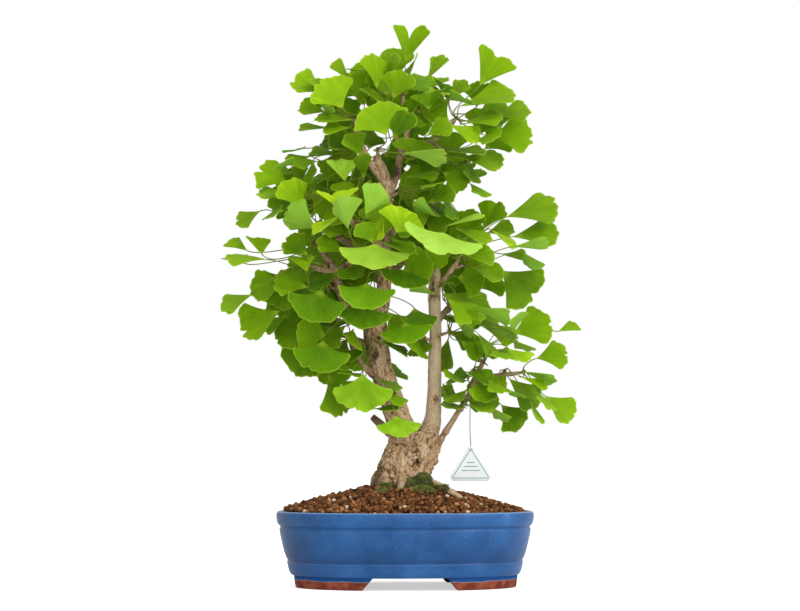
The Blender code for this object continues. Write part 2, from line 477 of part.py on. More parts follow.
def make_soil(roots):
    bm = bmesh.new()
    rings = []
    floor, wall = POT_INNER[-1], POT_INNER[-2]
    for half, height in ((floor[0], floor[1] + SCREEN_THICK + 2 * GAP), wall):
        rings.append(oval(half - 2 * GAP, pot_depth(half - 2 * GAP), height))
    for part in SOIL_RINGS:
        half = (POT_INNER[0][0] - 2 * GAP) * part
        depth = pot_depth(POT_INNER[0][0] - 2 * GAP) * part
        ring = oval(half, depth, 0.0)
        for point in ring:
            point.x += SOIL_CENTRE_X * (1.0 - part)
            point.z = soil_height(point.x, point.y)
        rings.append(ring)
    loft(bm, rings)
    soil = finish(bm, "soil", material("soil_grains", (0.16, 0.07, 0.035), 0.95), smooth=False)
    boolean(soil, roots, "DIFFERENCE")


def make_screens():
    plastic = material("screen_plastic", (0.02, 0.02, 0.02), 0.6)
    for side, x in (("left", -DRAIN_X), ("right", DRAIN_X)):
        bm = bmesh.new()
        bmesh.ops.create_cube(bm, size=1.0)
        bmesh.ops.scale(bm, vec=(2 * SCREEN_HALF, 2 * SCREEN_HALF, SCREEN_THICK), verts=bm.verts)
        bottom = POT_INNER[-1][1] + GAP
        bmesh.ops.translate(bm, vec=(x, 0.0, bottom + SCREEN_THICK / 2), verts=bm.verts)
        finish(bm, f"drain_screen_{side}", plastic, smooth=False)


def tube(name, points, sides, extra=0.0):
    """A closed tapered tube through points of (centre, radius), as an object."""
    bm = bmesh.new()
    rings = []
    for i, (centre, radius) in enumerate(points):
        before, after = points[max(i - 1, 0)][0], points[min(i + 1, len(points) - 1)][0]
        along = (after - before).normalized()
        side = along.orthogonal() if i == 0 else (side - along * side.dot(along))
        side = side.normalized()
        other = along.cross(side)
        ring = []
        for k in range(sides):
            angle = k * math.tau / sides
            ring.append(centre + (side * math.cos(angle) + other * math.sin(angle)) * (radius + extra))
        rings.append(ring)
    rings[0] = [point - (points[1][0] - points[0][0]).normalized() * extra for point in rings[0]]
    rings[-1] = [point + along * extra for point in rings[-1]]
    loft(bm, rings)
    return bm


def limb_points(rows):
    return [(place(x, z, depth), radius) for x, z, depth, radius in rows]


def base_mesh(extra=0.0):
    bm = bmesh.new()
    rings = []
    for height, middle, half, depth in BASE_SECTIONS:
        ring = []
        for k in range(BASE_SIDES):
            angle = k * math.tau / BASE_SIDES
            swell = 1.0 + BASE_FLUTE * math.cos(BASE_LOBES * angle + BASE_TWIST * height)
            across = middle + (half + extra) * math.cos(angle) * swell
            ring.append(place(across, height, (depth + extra) * math.sin(angle) * swell))
        rings.append(ring)
    loft(bm, rings)
    return bm


def limb_sides(rows):
    return LIMB_SIDES if rows[0][3] > THICK_LIMB else TWIG_SIDES


def make_wood():
    """The whole tree's wood, joined into one body, and the cutters that make room in the soil."""
    bark = material("bark", (0.27, 0.18, 0.11), 0.9)
    limbs = bpy.data.collections.new("limbs")
    cutters = bpy.data.collections.new("root_cutters")
    for collection in (limbs, cutters):
        bpy.context.scene.collection.children.link(collection)
    wood = finish(base_mesh(), "wood", bark)
    for name, rows in {**LIMBS, **ROOTS}.items():
        add_helper(tube(name, limb_points(rows), limb_sides(rows)), f"limb_{name}", bark, limbs)
    for name, (tip, foot, _) in SPURS.items():
        points = [(place(*foot), SPUR_RADII[0]), (place(*tip), SPUR_RADII[1])]
        add_helper(tube(name, points, SPUR_SIDES), f"limb_{name}", bark, limbs)
    boolean(wood, limbs, "UNION")
    add_helper(base_mesh(GAP), "cutter_base", bark, cutters)
    for name, rows in ROOTS.items():
        bm = tube(name, limb_points(rows), limb_sides(rows), GAP)
        add_helper(bm, f"cutter_{name}", bark, cutters)
    return cutters


def add_helper(bm, name, finish_material, collection):
    obj = finish(bm, name, finish_material)
    bpy.context.scene.collection.objects.unlink(obj)
    collection.objects.link(obj)
    hide(obj)


class Leaf:
    """One leaf of the layout: where its blade springs, how it lies and how large it is."""

    def __init__(self, row, shift, scale):
        x, z, depth, heading, length, width, face, fold = row
        self.base = place(x, z, depth + shift)
        self.fold = fold
        size = max(length, width / (2.0 * math.sin(FAN_WIDEST)), LEAST_LEAF)
        self.size = size * scale
        as_seen = math.asin(min(1.0, width / (2.0 * size)))
        self.half_angle = max(FAN_NARROWEST, FAN_WIDEST - FAN_YIELD * (FAN_WIDEST - as_seen))
        tilt = math.acos(min(1.0, length / size))
        roll = math.acos(min(1.0, width / (2.0 * size * math.sin(self.half_angle))))
        angle = math.radians(heading)
        flat = RIGHT * math.cos(angle) + UP * math.sin(angle)
        across = UP * math.cos(angle) - RIGHT * math.sin(angle)
        shows_top = face == "u"
        rises = math.sin(angle)
        if abs(rises) > LEVEL_HEADING:
            lean = 1.0 if (rises > 0) == shows_top else -1.0
        else:
            lean = -1.0 if depth < 0 else 1.0
        self.axis = flat * math.cos(tilt) + AWAY * math.sin(tilt) * lean
        best = None
        for turn in (1.0, -1.0):
            third = self.axis.cross(across)
            side = across * math.cos(roll) + third * math.sin(roll) * turn
            top = self.axis.cross(side)
            if (top.dot(AWAY) < 0) != shows_top:
                top = -top
            if best is None or top.z > best[1].z:
                best = (side, top)
        self.top = best[1]
        self.side = self.top.cross(self.axis)

    def point(self, across, along):
        """A point of the blade: across runs from -1 to 1, along from 0 at the stalk to 1 at the rim."""
        angle = across * self.half_angle * (BLADE_NECK + (1.0 - BLADE_NECK) * along)
        reach = self.size * along
        x, y = reach * math.sin(angle), reach * math.cos(angle)
        height = self.fold * abs(x) - DROOP * self.size * along * along
        return self.base + self.side * x + self.axis * y + self.top * height

    def sheet(self, extra, halves=1):
        """Rows of points over the blade, pushed out by this much at its edges."""
        grow = 1.0 + extra / self.size
        columns = [k / halves * grow for k in range(-halves, halves + 1)]
        return [[self.point(across, along * grow) for across in columns] for along in BLADE_ROWS]


def blade_tree(leaf, room):
    """The blade as a closed thick plate, or as a bare sheet where no room is asked for."""
    rows = leaf.sheet(room, TEST_HALVES)
    width, count = 2 * TEST_HALVES + 1, len(rows)
    points, faces = [], []
    levels = (room, -room) if room else (0.0,)
    for level in levels:
        first = len(points)
        for row in rows:
            points.extend(point + leaf.top * level for point in row)
        for i in range(count - 1):
            for k in range(width - 1):
                a = first + width * i + k
                faces.append((a, a + 1, a + width + 1, a + width))
    if room:
        near, far = list(range(width)), list(range(width * (count - 1), width * count))
        right = [width * i - 1 for i in range(2, count)]
        left = [width * i for i in range(count - 2, 0, -1)]
        rim = near + right + far[::-1] + left
        for a, b in zip(rim, rim[1:] + rim[:1]):
            faces.append((a, b, b + width * count, a + width * count))
    return BVHTree.FromPolygons(points, faces, all_triangles=False)


def path_tree(path, radius):
    """An open tube round a stalk."""
    points, faces = [], []
    for i, centre in enumerate(path):
        before, after = path[max(i - 1, 0)], path[min(i + 1, len(path) - 1)]
        along = (after - before).normalized()
        side = along.orthogonal().normalized()
        other = along.cross(side)
        for k in range(ROUTE_SIDES):
            angle = k * math.tau / ROUTE_SIDES
            points.append(centre + (side * math.cos(angle) + other * math.sin(angle)) * radius)
            if i:
                a = ROUTE_SIDES * (i - 1) + k
                b = ROUTE_SIDES * (i - 1) + (k + 1) % ROUTE_SIDES
                faces.append((a, b, b + ROUTE_SIDES, a + ROUTE_SIDES))
    return BVHTree.FromPolygons(points, faces, all_triangles=False)


def curve_point(p0, p1, p2, p3, t):
    s = 1.0 - t
    return p0 * s ** 3 + p1 * 3 * s * s * t + p2 * 3 * s * t * t + p3 * t ** 3


def stalk_path(start, outward, leaf, bow, side):
    """A smooth path from the bud's face to the blade's base, bent out to one side."""
    reach = (leaf.base - start).length
    chord = (leaf.base - start).normalized()
    first = chord.orthogonal().normalized()
    second = chord.cross(first)
    push = (first * math.cos(side) + second * math.sin(side)) * bow * reach
    p1 = start + outward * (STALK_START + STALK_LEAVE * reach) + push
    p2 = leaf.base - leaf.axis * STALK_ARRIVE * reach + push
    return [curve_point(start, p1, p2, leaf.base, i / (PATH_STEPS - 1)) for i in range(PATH_STEPS)]


def bud_frame(tip, foot):
    """Direction, middle and two cross directions of a bud that stands on a spur."""
    along = (tip - foot).normalized()
    centre = tip + along * (BUD_CLEAR + BUD_HEIGHT / 2)
    first = along.orthogonal().normalized()
    second = along.cross(first)
    return along, centre, first, second


def assign_faces(name):
    """Gives each leaf of a spur the side of the bud that looks its way."""
    tip, foot, rows = SPURS[name]
    count = len(rows)
    along, centre, first, second = bud_frame(place(*tip), place(*foot))
    sides = max(BUD_LEAST_SIDES, count)
    angles = []
    for row in rows:
        toward = place(row[0], row[1], row[2]) - centre
        angles.append(math.atan2(toward.dot(second), toward.dot(first)))
    order = sorted(range(count), key=lambda i: angles[i])
    offset = sum(
        math.remainder(angles[i] - k * math.tau / sides, math.tau) for k, i in enumerate(order)
    ) / count
    outward = {}
    for k, i in enumerate(order):
        turn = offset + k * math.tau / sides
        outward[i] = first * math.cos(turn) + second * math.sin(turn)
    return along, centre, offset, sides, outward


def solid_tree(bm):
    tree = BVHTree.FromBMesh(bm)
    bm.free()
    return tree


def wood_obstacles():
    found = [("base", solid_tree(base_mesh(WOOD_ROOM)))]
    for name, rows in LIMBS.items():
        found.append((name, solid_tree(tube(name, limb_points(rows), TEST_SIDES, WOOD_ROOM))))
    for name, (tip, foot, _) in SPURS.items():
        along, centre, _, _ = bud_frame(place(*tip), place(*foot))
        points = [(place(*foot), SPUR_RADII[0]), (place(*tip), SPUR_RADII[1])]
        found.append((name, solid_tree(tube(name, points, SPUR_SIDES, WOOD_ROOM))))
        low, high = centre - along * BUD_HEIGHT, centre + along * BUD_HEIGHT
        bud = [(low, BUD_RADIUS * TEST_BUD_SWELL), (high, BUD_RADIUS)]
        found.append((name + " bud", solid_tree(tube(name, bud, SPUR_SIDES, WOOD_ROOM))))
    return found


def hits(tree, others, skip=()):
    return any(owner not in skip and tree.overlap(other) for owner, other in others)


def lay_out_leaves():
    """Finds a clear place for every leaf, the nearest to the eye first."""
    wood = wood_obstacles()
    placed = []
    faces = {name: assign_faces(name) for name in SPURS}
    jobs = [(row[2], name, i) for name, (_, _, rows) in SPURS.items() for i, row in enumerate(rows)]
    laid = {}
    for _, name, i in sorted(jobs):
        found = find_room(name, i, faces[name], wood, placed)
        if found is None:
            print("no room for leaf", i, "of", name)
            continue
        leaf, path = found
        laid[name, i] = found
        placed.append((name, blade_tree(leaf, BLADE_ROOM)))
        for route in (path, straight_runs(path, leaf)):
            placed.append((name, path_tree(route, PETIOLE_ROOM)))
    return faces, laid


def find_room(name, index, bud, wood, placed):
    _, centre, _, _, outward = bud
    direction = outward[index]
    row = SPURS[name][2][index]
    start = centre + direction * BUD_RADIUS
    for scale in SIZE_TRIES:
        for shift in DEPTH_TRIES:
            leaf = Leaf(row, shift, scale)
            blade = blade_tree(leaf, 0.0)
            if hits(blade, wood) or hits(blade, placed):
                continue
            for bow in BOW_TRIES:
                for k in range(BOW_SIDES if bow else 1):
                    path = stalk_path(start, direction, leaf, bow, k * math.tau / BOW_SIDES)
                    if stalk_is_clear(name, path, leaf, wood, placed):
                        return leaf, path
    return None


def stalk_is_clear(name, path, leaf, wood, placed):
    """Tests the smooth stalk and the one of three straight runs, near the bud only against others."""
    for route in (path, straight_runs(path, leaf)):
        whole = path_tree(route, ROUTE_RADIUS)
        if hits(whole, placed, skip=(name,)) or hits(whole, wood, skip=(name, name + " bud")):
            return False
        outer = path_tree(route[len(route) // 4:], ROUTE_RADIUS)
        if hits(outer, placed) or hits(outer, wood):
            return False
    return True


def straight_runs(path, leaf):
    step = (PATH_STEPS - 1) // PETIOLE_CUTS
    return path[::step][:-1] + [leaf.point(0.0, BLADE_ROWS[0])]


def grow(bm, face, corners):
    """Draws a face out to new corners, in the face's own order, and returns it."""
    face = bmesh.ops.extrude_discrete_faces(bm, faces=[face])["faces"][0]
    for vert, corner in zip(face.verts, corners):
        vert.co = corner
    return face


def nearest_order(face, corners):
    """Turns four corners so that they lie nearest to a face's own."""
    have = [vert.co for vert in face.verts]
    turns = [corners[k:] + corners[:k] for k in range(len(corners))]
    return min(turns, key=lambda turn: sum((a - b).length for a, b in zip(have, turn)))


def stalk_ring(centre, along, side, half):
    side = (side - along * side.dot(along)).normalized()
    other = along.cross(side)
    return [centre + side * (a * half) + other * (b * half) for a, b in STALK_CORNERS]


def grow_leaf(bm, face, leaf, path):
    """Grows a stalk and a blade out of one side face of the bud."""
    for cut in range(1, PETIOLE_CUTS):
        k = cut * (PATH_STEPS - 1) // PETIOLE_CUTS
        along = (path[k + 1] - path[k - 1]).normalized()
        side = (face.verts[0].co - face.verts[1].co).normalized()
        ring = stalk_ring(path[k], along, side, PETIOLE_HALF_THICK)
        face = grow(bm, face, nearest_order(face, ring))
    low, middle, rim = leaf.sheet(0.0)
    half = leaf.top * BLADE_HALF_THICK
    ring = [low[2] + half, low[0] + half, low[0] - half, low[2] - half]
    ordered = nearest_order(face, ring)
    turn = ring.index(ordered[0])
    face = grow(bm, face, ordered)
    corner = face.verts[-turn % len(ring)]
    loop = next(loop for loop in face.loops if loop.vert == corner)
    for edge in (loop.edge, loop.link_loop_next.link_loop_next.edge):
        bmesh.utils.edge_split(edge, edge.verts[0], 0.5)
    for row in (middle, rim):
        first = list(face.verts).index(corner)
        above, below = [point + half for point in reversed(row)], [point - half for point in row]
        ring = above + below
        face = grow(bm, face, ring[-first:] + ring[:-first] if first else ring)
        corner = face.verts[first]


def make_leaves():
    """One node for each spur: its bud with the stalks and blades that spring from it."""
    green = material("leaf_green", (0.13, 0.32, 0.01), 0.5)
    faces, laid = lay_out_leaves()
    for name in SPURS:
        along, centre, offset, sides, outward = faces[name]
        first = along.orthogonal().normalized()
        turned = first * math.cos(offset) + along.cross(first) * math.sin(offset)
        frame = Matrix((turned, along.cross(turned), along)).transposed().to_4x4()
        bm = bmesh.new()
        frame = Matrix.Translation(centre) @ frame
        turn = Matrix.Rotation(math.pi / sides - math.pi / 2, 4, "Z")
        bmesh.ops.create_cone(
            bm, cap_ends=True, segments=sides, radius1=BUD_RADIUS, radius2=BUD_RADIUS,
            depth=BUD_HEIGHT, matrix=frame @ turn,
        )
        for i, direction in outward.items():
            if (name, i) in laid:
                walls = [f for f in bm.faces if (f.calc_center_median() - centre).length < 3 * BUD_RADIUS]
                face = max(walls, key=lambda f: f.normal.dot(direction))
                grow_leaf(bm, face, *laid[name, i])
        finish(bm, name, green, smooth=False)


def make_tag():
    """A flat triangle with rounded corners."""
    bm = bmesh.new()
    x, top = TAG_APEX
    side, low = TAG_HALF - TAG_CORNER, TAG_BASE_Z + TAG_CORNER
    corners = [(x, top - TAG_CORNER), (x - side, low), (x + side, low)]
    outline = []
    for corner, (cx, cz) in enumerate(corners):
        start = math.radians(30) + corner * math.tau / 3
        for k in range(TAG_ARC_STEPS + 1):
            angle = start + k * math.tau / 3 / TAG_ARC_STEPS
            outline.append((cx + TAG_CORNER * math.cos(angle), cz + TAG_CORNER * math.sin(angle)))
    rings = []
    for depth in (TAG_DEPTH + TAG_THICK / 2, TAG_DEPTH - TAG_THICK / 2):
        rings.append([place(x, z, depth) for x, z in outline])
    loft(bm, rings)
    finish(bm, "tag", material("tag_card", (0.85, 0.87, 0.85), 0.45), smooth=False)


def make_wire():
    """The thin wire that the tag hangs from, as a curve with filled ends."""
    curve = bpy.data.curves.new("tag_wire", "CURVE")
    curve.dimensions = "3D"
    curve.bevel_depth = WIRE_RADIUS * MM
    curve.bevel_resolution = 2
    curve.use_fill_caps = True
    route = [place(x, z, TAG_DEPTH) * MM for x, z in WIRE_ROUTE]
    points = []
    for i in range(len(route) - 1):
        a, b = route[i], route[i + 1]
        before, after = route[max(i - 1, 0)], route[min(i + 2, len(route) - 1)]
        for k in range(WIRE_STEPS):
            t = k / WIRE_STEPS
            points.append(curve_point(a, a + (b - before) / 6, b - (after - a) / 6, b, t))
    points.append(route[-1])
    spline = curve.splines.new("POLY")
    spline.points.add(len(points) - 1)
    for target, point in zip(spline.points, points):
        target.co = (*point, 1.0)
    wire = bpy.data.objects.new("tag_wire", curve)
    bpy.context.scene.collection.objects.link(wire)
    curve.materials.append(material("wire_steel", (0.25, 0.25, 0.24), 0.4, 1.0))


def make_moss():
    moss = material("moss", (0.05, 0.11, 0.015), 1.0)
    for name, (x, y, half_x, half_y, height) in MOSS.items():
        bm = bmesh.new()
        rings = []
        for part, rise in MOSS_ROWS:
            ring = []
            for k in range(MOSS_SIDES):
                angle = k * math.tau / MOSS_SIDES
                px, py = x + half_x * part * math.cos(angle), y + half_y * part * math.sin(angle)
                ring.append(Vector((px, py, soil_height(px, py) + MOSS_LIFT + rise * height)))
            rings.append(ring)
        loft(bm, rings)
        finish(bm, name, moss)


def main():
    clear_scene()
    make_pot()
    make_soil(make_wood())
    make_screens()
    make_leaves()
    make_tag()
    make_wire()
    make_moss()


main()
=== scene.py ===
import math
import random
from math import acos, asin, atan2, copysign, cos, exp, hypot, pi, radians, sin, sqrt, tau

import bmesh
import bpy
import numpy as np
from mathutils import Matrix, Vector, noise
from mathutils.bvhtree import BVHTree
from mathutils.kdtree import KDTree


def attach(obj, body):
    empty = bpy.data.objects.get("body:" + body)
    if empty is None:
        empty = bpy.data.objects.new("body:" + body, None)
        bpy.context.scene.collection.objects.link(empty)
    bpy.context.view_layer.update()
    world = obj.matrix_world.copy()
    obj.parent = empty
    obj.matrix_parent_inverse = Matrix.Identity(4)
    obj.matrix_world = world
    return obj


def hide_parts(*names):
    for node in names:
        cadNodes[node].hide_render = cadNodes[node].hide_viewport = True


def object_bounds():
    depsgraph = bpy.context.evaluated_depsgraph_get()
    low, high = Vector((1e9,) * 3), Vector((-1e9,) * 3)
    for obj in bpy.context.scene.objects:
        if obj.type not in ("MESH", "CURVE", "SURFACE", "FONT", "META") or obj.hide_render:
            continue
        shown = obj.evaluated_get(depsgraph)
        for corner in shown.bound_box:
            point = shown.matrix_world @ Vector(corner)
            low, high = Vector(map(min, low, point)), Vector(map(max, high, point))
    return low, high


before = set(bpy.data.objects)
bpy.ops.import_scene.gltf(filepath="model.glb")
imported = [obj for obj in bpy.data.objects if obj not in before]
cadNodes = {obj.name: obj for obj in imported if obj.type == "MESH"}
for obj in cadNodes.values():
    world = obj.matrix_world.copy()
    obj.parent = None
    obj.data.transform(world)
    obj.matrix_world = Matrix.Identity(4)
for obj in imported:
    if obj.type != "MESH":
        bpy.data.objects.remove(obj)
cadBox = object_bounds()
mm = 0.001
# the bark's swirls come from Blender's noise vectors, which are unseeded otherwise
noise.seed_set(3)

# The eye that the places are seen from, and how far the pot is turned to it, in degrees.
camera = {
    "eye": Vector((-5.0, -2400.0, 142.0)), "aim": Vector((-5.0, 0.0, 279.0)),
    "lens": 108.2, "sensor": 36.0, "potTurn": 3.5,
}
turn = radians(camera["potTurn"])
right = Vector((cos(turn), -sin(turn), 0.0))
away = Vector((sin(turn), cos(turn), 0.0))
up = Vector((0.0, 0.0, 1.0))
facing = Matrix((right, away, up)).transposed().to_4x4()


def place(x, z, depth):
    # the point that lies at this depth behind the point seen at x, z
    seen = camera["eye"] + (Vector((x, 0.0, z)) - camera["eye"]) * (1.0 - depth / camera["eye"].y)
    return right * seen.x + away * seen.y + up * seen.z


def seenAt(point):
    # where the eye sees a point: the reverse of place
    eye = camera["eye"]
    across, deep = point.dot(right), point.dot(away)
    shrink = -eye.y / (deep - eye.y)
    return Vector((eye.x + (across - eye.x) * shrink, eye.z + (point.z - eye.z) * shrink, 0.0))


def curvePoint(p0, p1, p2, p3, t):
    s = 1.0 - t
    return p0 * s ** 3 + p1 * 3 * s * s * t + p2 * 3 * s * t * t + p3 * t ** 3


def smoothCurve(rows, steps):
    # rows of numbers on a smooth curve through the given rows
    rows = [np.array(row, float) for row in rows]
    found = []
    for i, (a, b) in enumerate(zip(rows, rows[1:])):
        before, after = rows[max(i - 1, 0)], rows[min(i + 2, len(rows) - 1)]
        c, d = a + (b - before) / 6.0, b - (after - a) / 6.0
        found += [curvePoint(a, c, d, b, k / steps) for k in range(steps)]
    return found + [rows[-1]]


def placed(rows):
    # rows of x, z, depth and another measure or more, as points with their measures
    return [(place(*row[:3]), *row[3:]) for row in rows]


def bounded(value, low=0.0, high=1.0):
    return max(low, min(high, value))


def srgb(*levels):
    # a colour from 0 to 255 a channel, as the shader's linear values
    linear = [c / 3294.6 if c <= 10 else ((c / 255 + 0.055) / 1.055) ** 2.4 for c in levels]
    return (*linear, 1.0)


def addNode(tree, kind, inputs=None, out=0, **settings):
    # a new node, of which one output is given back
    node = tree.nodes.new("ShaderNode" + kind)
    for name, value in settings.items():
        setattr(node, name, value)
    for name, value in (inputs or {}).items():
        if isinstance(value, Value):
            tree.links.new(value.socket, node.inputs[name])
        else:
            node.inputs[name].default_value = value
    return Value(node.outputs[out])


class Value:
    # an output of a node: sums with it, and its methods, add further nodes behind it
    def __init__(self, socket):
        self.socket, self.tree = socket, socket.id_data

    def maths(self, operation, *others, clamp=False):
        return addNode(
            self.tree, "Math", dict(enumerate((self, *others))), operation=operation,
            use_clamp=clamp)

    def __add__(self, other):
        return self.maths("ADD", other)

    def __sub__(self, other):
        return self.maths("SUBTRACT", other)

    def __rsub__(self, other):
        return self * -1.0 + other

    def __mul__(self, other):
        return self.maths("MULTIPLY", other)

    def wave(self, rate):
        # how far a sine of this rate is from nought, whichever way
        return (self * rate).maths("SINE").maths("ABSOLUTE")

    def fade(self, low, high, start=0.0, end=1.0):
        # a smooth step from low to high
        inputs = {"Value": self, "From Min": low, "From Max": high, "To Min": start, "To Max": end}
        return addNode(
            self.tree, "MapRange", inputs, interpolation_type="SMOOTHSTEP")

    def mix(self, a, b):
        # from colour a, where this is 0, to colour b
        a, b = [colour if isinstance(colour, Value) else srgb(*colour) for colour in (a, b)]
        return addNode(
            self.tree, "Mix", {0: self, 6: a, 7: b}, out=2, data_type="RGBA")

    def ramp(self, *stops):
        # colours along this value; a stop is a position with red, green and blue, or with one
        # grey level from 0 to 1
        colour = addNode(self.tree, "ValToRGB", {0: self})
        ramp = colour.socket.node.color_ramp
        while len(ramp.elements) < len(stops):
            ramp.elements.new(0.5)
        for element, (position, *levels) in zip(ramp.elements, stops):
            element.position = position
            element.color = srgb(*levels) if len(levels) > 1 else (*levels * 3, 1.0)
        return colour

    def split(self, kind="XYZ"):
        first = addNode(self.tree, "Separate" + kind, {0: self})
        return [Value(socket) for socket in first.socket.node.outputs]

    def mottle(self, size, detail=4.0, contrast=1.0):
        inputs = {"Vector": self, "Size": size, "Detail": detail, "Contrast": contrast}
        return addNode(self.tree, "Group", inputs, node_tree=mottleGroup)

    def specks(self, spacing, dot, share):
        inputs = {"Vector": self, "Spacing": spacing, "Dot": dot, "Share": share}
        return addNode(self.tree, "Group", inputs, node_tree=specksGroup)


def newGroup(name, out, **inputs):
    # a node group that works on places, with its numbers and their usual values
    tree = bpy.data.node_groups.new(name, "ShaderNodeTree")
    tree.interface.new_socket("Vector", in_out="INPUT", socket_type="NodeSocketVector")
    for socketName, value in inputs.items():
        socket = tree.interface.new_socket(
            socketName, in_out="INPUT", socket_type="NodeSocketFloat")
        socket.default_value = value
    tree.interface.new_socket(out, in_out="OUTPUT", socket_type="NodeSocketFloat")
    given = [Value(socket) for socket in tree.nodes.new("NodeGroupInput").outputs]
    return tree, given, tree.nodes.new("NodeGroupOutput").inputs[0]


def perMetre(size):
    # how often a size in millimetres fits into a metre
    return addNode(
        size.tree, "Math", {0: 1.0 / mm, 1: size}, operation="DIVIDE")


def makeMottle():
    # soft patches: a value that wanders round the middle, at a size given in millimetres
    tree, given, result = newGroup("mottle", "Value", Size=10.0, Detail=4.0, Contrast=1.0)
    where, size, detail, contrast = given[:4]
    cloud = addNode(tree, "TexNoise", {
        "Vector": where, "Scale": perMetre(size), "Detail": detail})
    value = (cloud - 0.5).maths("MULTIPLY_ADD", contrast, 0.5, clamp=True)
    tree.links.new(value.socket, result)
    return tree


def makeSpecks():
    # small round dots scattered over the surface: 1 on a dot, 0 off it
    tree, given, result = newGroup("specks", "Mask", Spacing=6.0, Dot=0.15, Share=0.5)
    where, spacing, dot, share = given[:4]
    gap, colour = cells(where, perMetre(spacing))
    kept = gap.maths("LESS_THAN", dot) * colour.maths("LESS_THAN", share)
    tree.links.new(kept.socket, result)
    return tree


def cells(where, scale):
    # irregular cells: the distance from each one's middle, and a number of its own
    gap = addNode(where.tree, "TexVoronoi", {"Vector": where, "Scale": scale})
    return gap, Value(gap.socket.node.outputs["Color"]).split("Color")[0]


mottleGroup = makeMottle()
specksGroup = makeSpecks()


def newMaterial(name, **constants):
    # a material's shader, on whose own sockets the constants are set, and the surface's places
    made = bpy.data.materials.new(name)
    made.use_nodes = True
    shader = made.node_tree.nodes["Principled BSDF"]
    for socket, value in constants.items():
        shader.inputs[socket.replace("_", " ")].default_value = value
    return made, shader, addNode(made.node_tree, "TexCoord", out="Object")


def attribute(where, name, out="Fac"):
    return addNode(where.tree, "Attribute", out=out, attribute_name=name)


def joinShader(shader, colour, height, distance, strength=1.0, **others):
    # what changes over the surface: its colour, its bumps in millimetres, and others by name
    tree = shader.id_data
    others["Base_Color"] = colour
    others["Normal"] = addNode(tree, "Bump", {
        "Height": height, "Distance": distance * mm, "Strength": strength})
    for name, value in others.items():
        tree.links.new(value.socket, shader.inputs[name.replace("_", " ")])


# A leaf's hue in its tone: from 0 for fresh green through the plain one to pale.
plainHue, paleHue = 0.14, 0.28


def makeLeafMaterial():
    made, shader, where = newMaterial(
        "leafGreen", Subsurface_Weight=0.3, Subsurface_Scale=0.0012, Specular_IOR_Level=0.05,
        Subsurface_Radius=(0.5, 1.0, 0.1))
    shade, under, part = attribute(where, "leafTone", "Color").split("Color")
    across, along, _ = addNode(where.tree, "UVMap", uv_map="fan").split()
    patches, fine = where.mottle(14.0, 3.0, 1.4), where.mottle(1.1, 2.0, 1.2)
    spread = addNode(where.tree, "CombineXYZ", {
        0: across * 0.06, 1: along * 0.006, 2: shade * 0.3})
    streaks = spread.mottle(3.6, 3.0, 2.0)
    # each leaf's shade is how light it is: partly its own tone, partly painted light and shade for
    # where it sits in the crown
    level = (patches - 0.5) * 0.28 + shade + (fine - 0.5) * 0.08 + (streaks - 0.5) * 0.2
    level += along.fade(0.15, 1.0, -0.1, 0.07)
    top = level.ramp(
        (0.0, 64, 102, 0), (0.3, 94, 134, 1), (0.6, 116, 157, 3), (0.85, 134, 173, 6),
        (1.0, 170, 204, 28))
    fresh = level.ramp(
        (0.0, 46, 90, 0), (0.3, 76, 122, 1), (0.6, 98, 148, 4), (1.0, 136, 188, 38))
    pale = level.ramp((0.0, 104, 150, 30), (0.6, 150, 194, 66), (1.0, 180, 218, 98))
    below = level.ramp((0.0, 100, 144, 30), (0.6, 146, 190, 62), (1.0, 174, 212, 84))
    top = part.fade(plainHue, 0.0).mix(top, fresh)
    top = part.fade(plainHue, paleHue).mix(top, pale)
    # veins run out from the stalk and fork halfway
    ray = across + where.mottle(20.0, 2.0) * 0.04
    vein, forked = [ray.wave(count * pi).maths("POWER", 3.0) for count in (46.0, 92.0)]
    vein = (forked - vein) * along.fade(0.35, 0.6) + vein
    # the rim is lighter as painted highlight along the blade's edge; the veins and the paler heart
    # are the leaf's own colour
    rim, heart = along.fade(0.955, 0.995), along.fade(0.28, 0.04)
    lighter = (vein * 0.16 + heart * 0.35).maths("ADD", rim * 0.45, clamp=True)
    top = lighter.mix(top, (180, 206, 60))
    below = (vein * 0.25).mix(below, (112, 156, 44))
    stalkGreen = patches.mix((92, 104, 34), (136, 152, 52))
    budBrown = patches.mix((96, 70, 48), (140, 108, 76))
    colour = part.maths("GREATER_THAN", 0.3).mix(under.mix(top, below), stalkGreen)
    colour = part.maths("GREATER_THAN", 0.8).mix(colour, budBrown)
    ribbed = streaks * 1.6 + vein * -0.6 + fine
    joinShader(shader, colour, ribbed, 0.16, 0.6, Roughness=under * 0.2 + 0.5 + fine * 0.1)
    return made


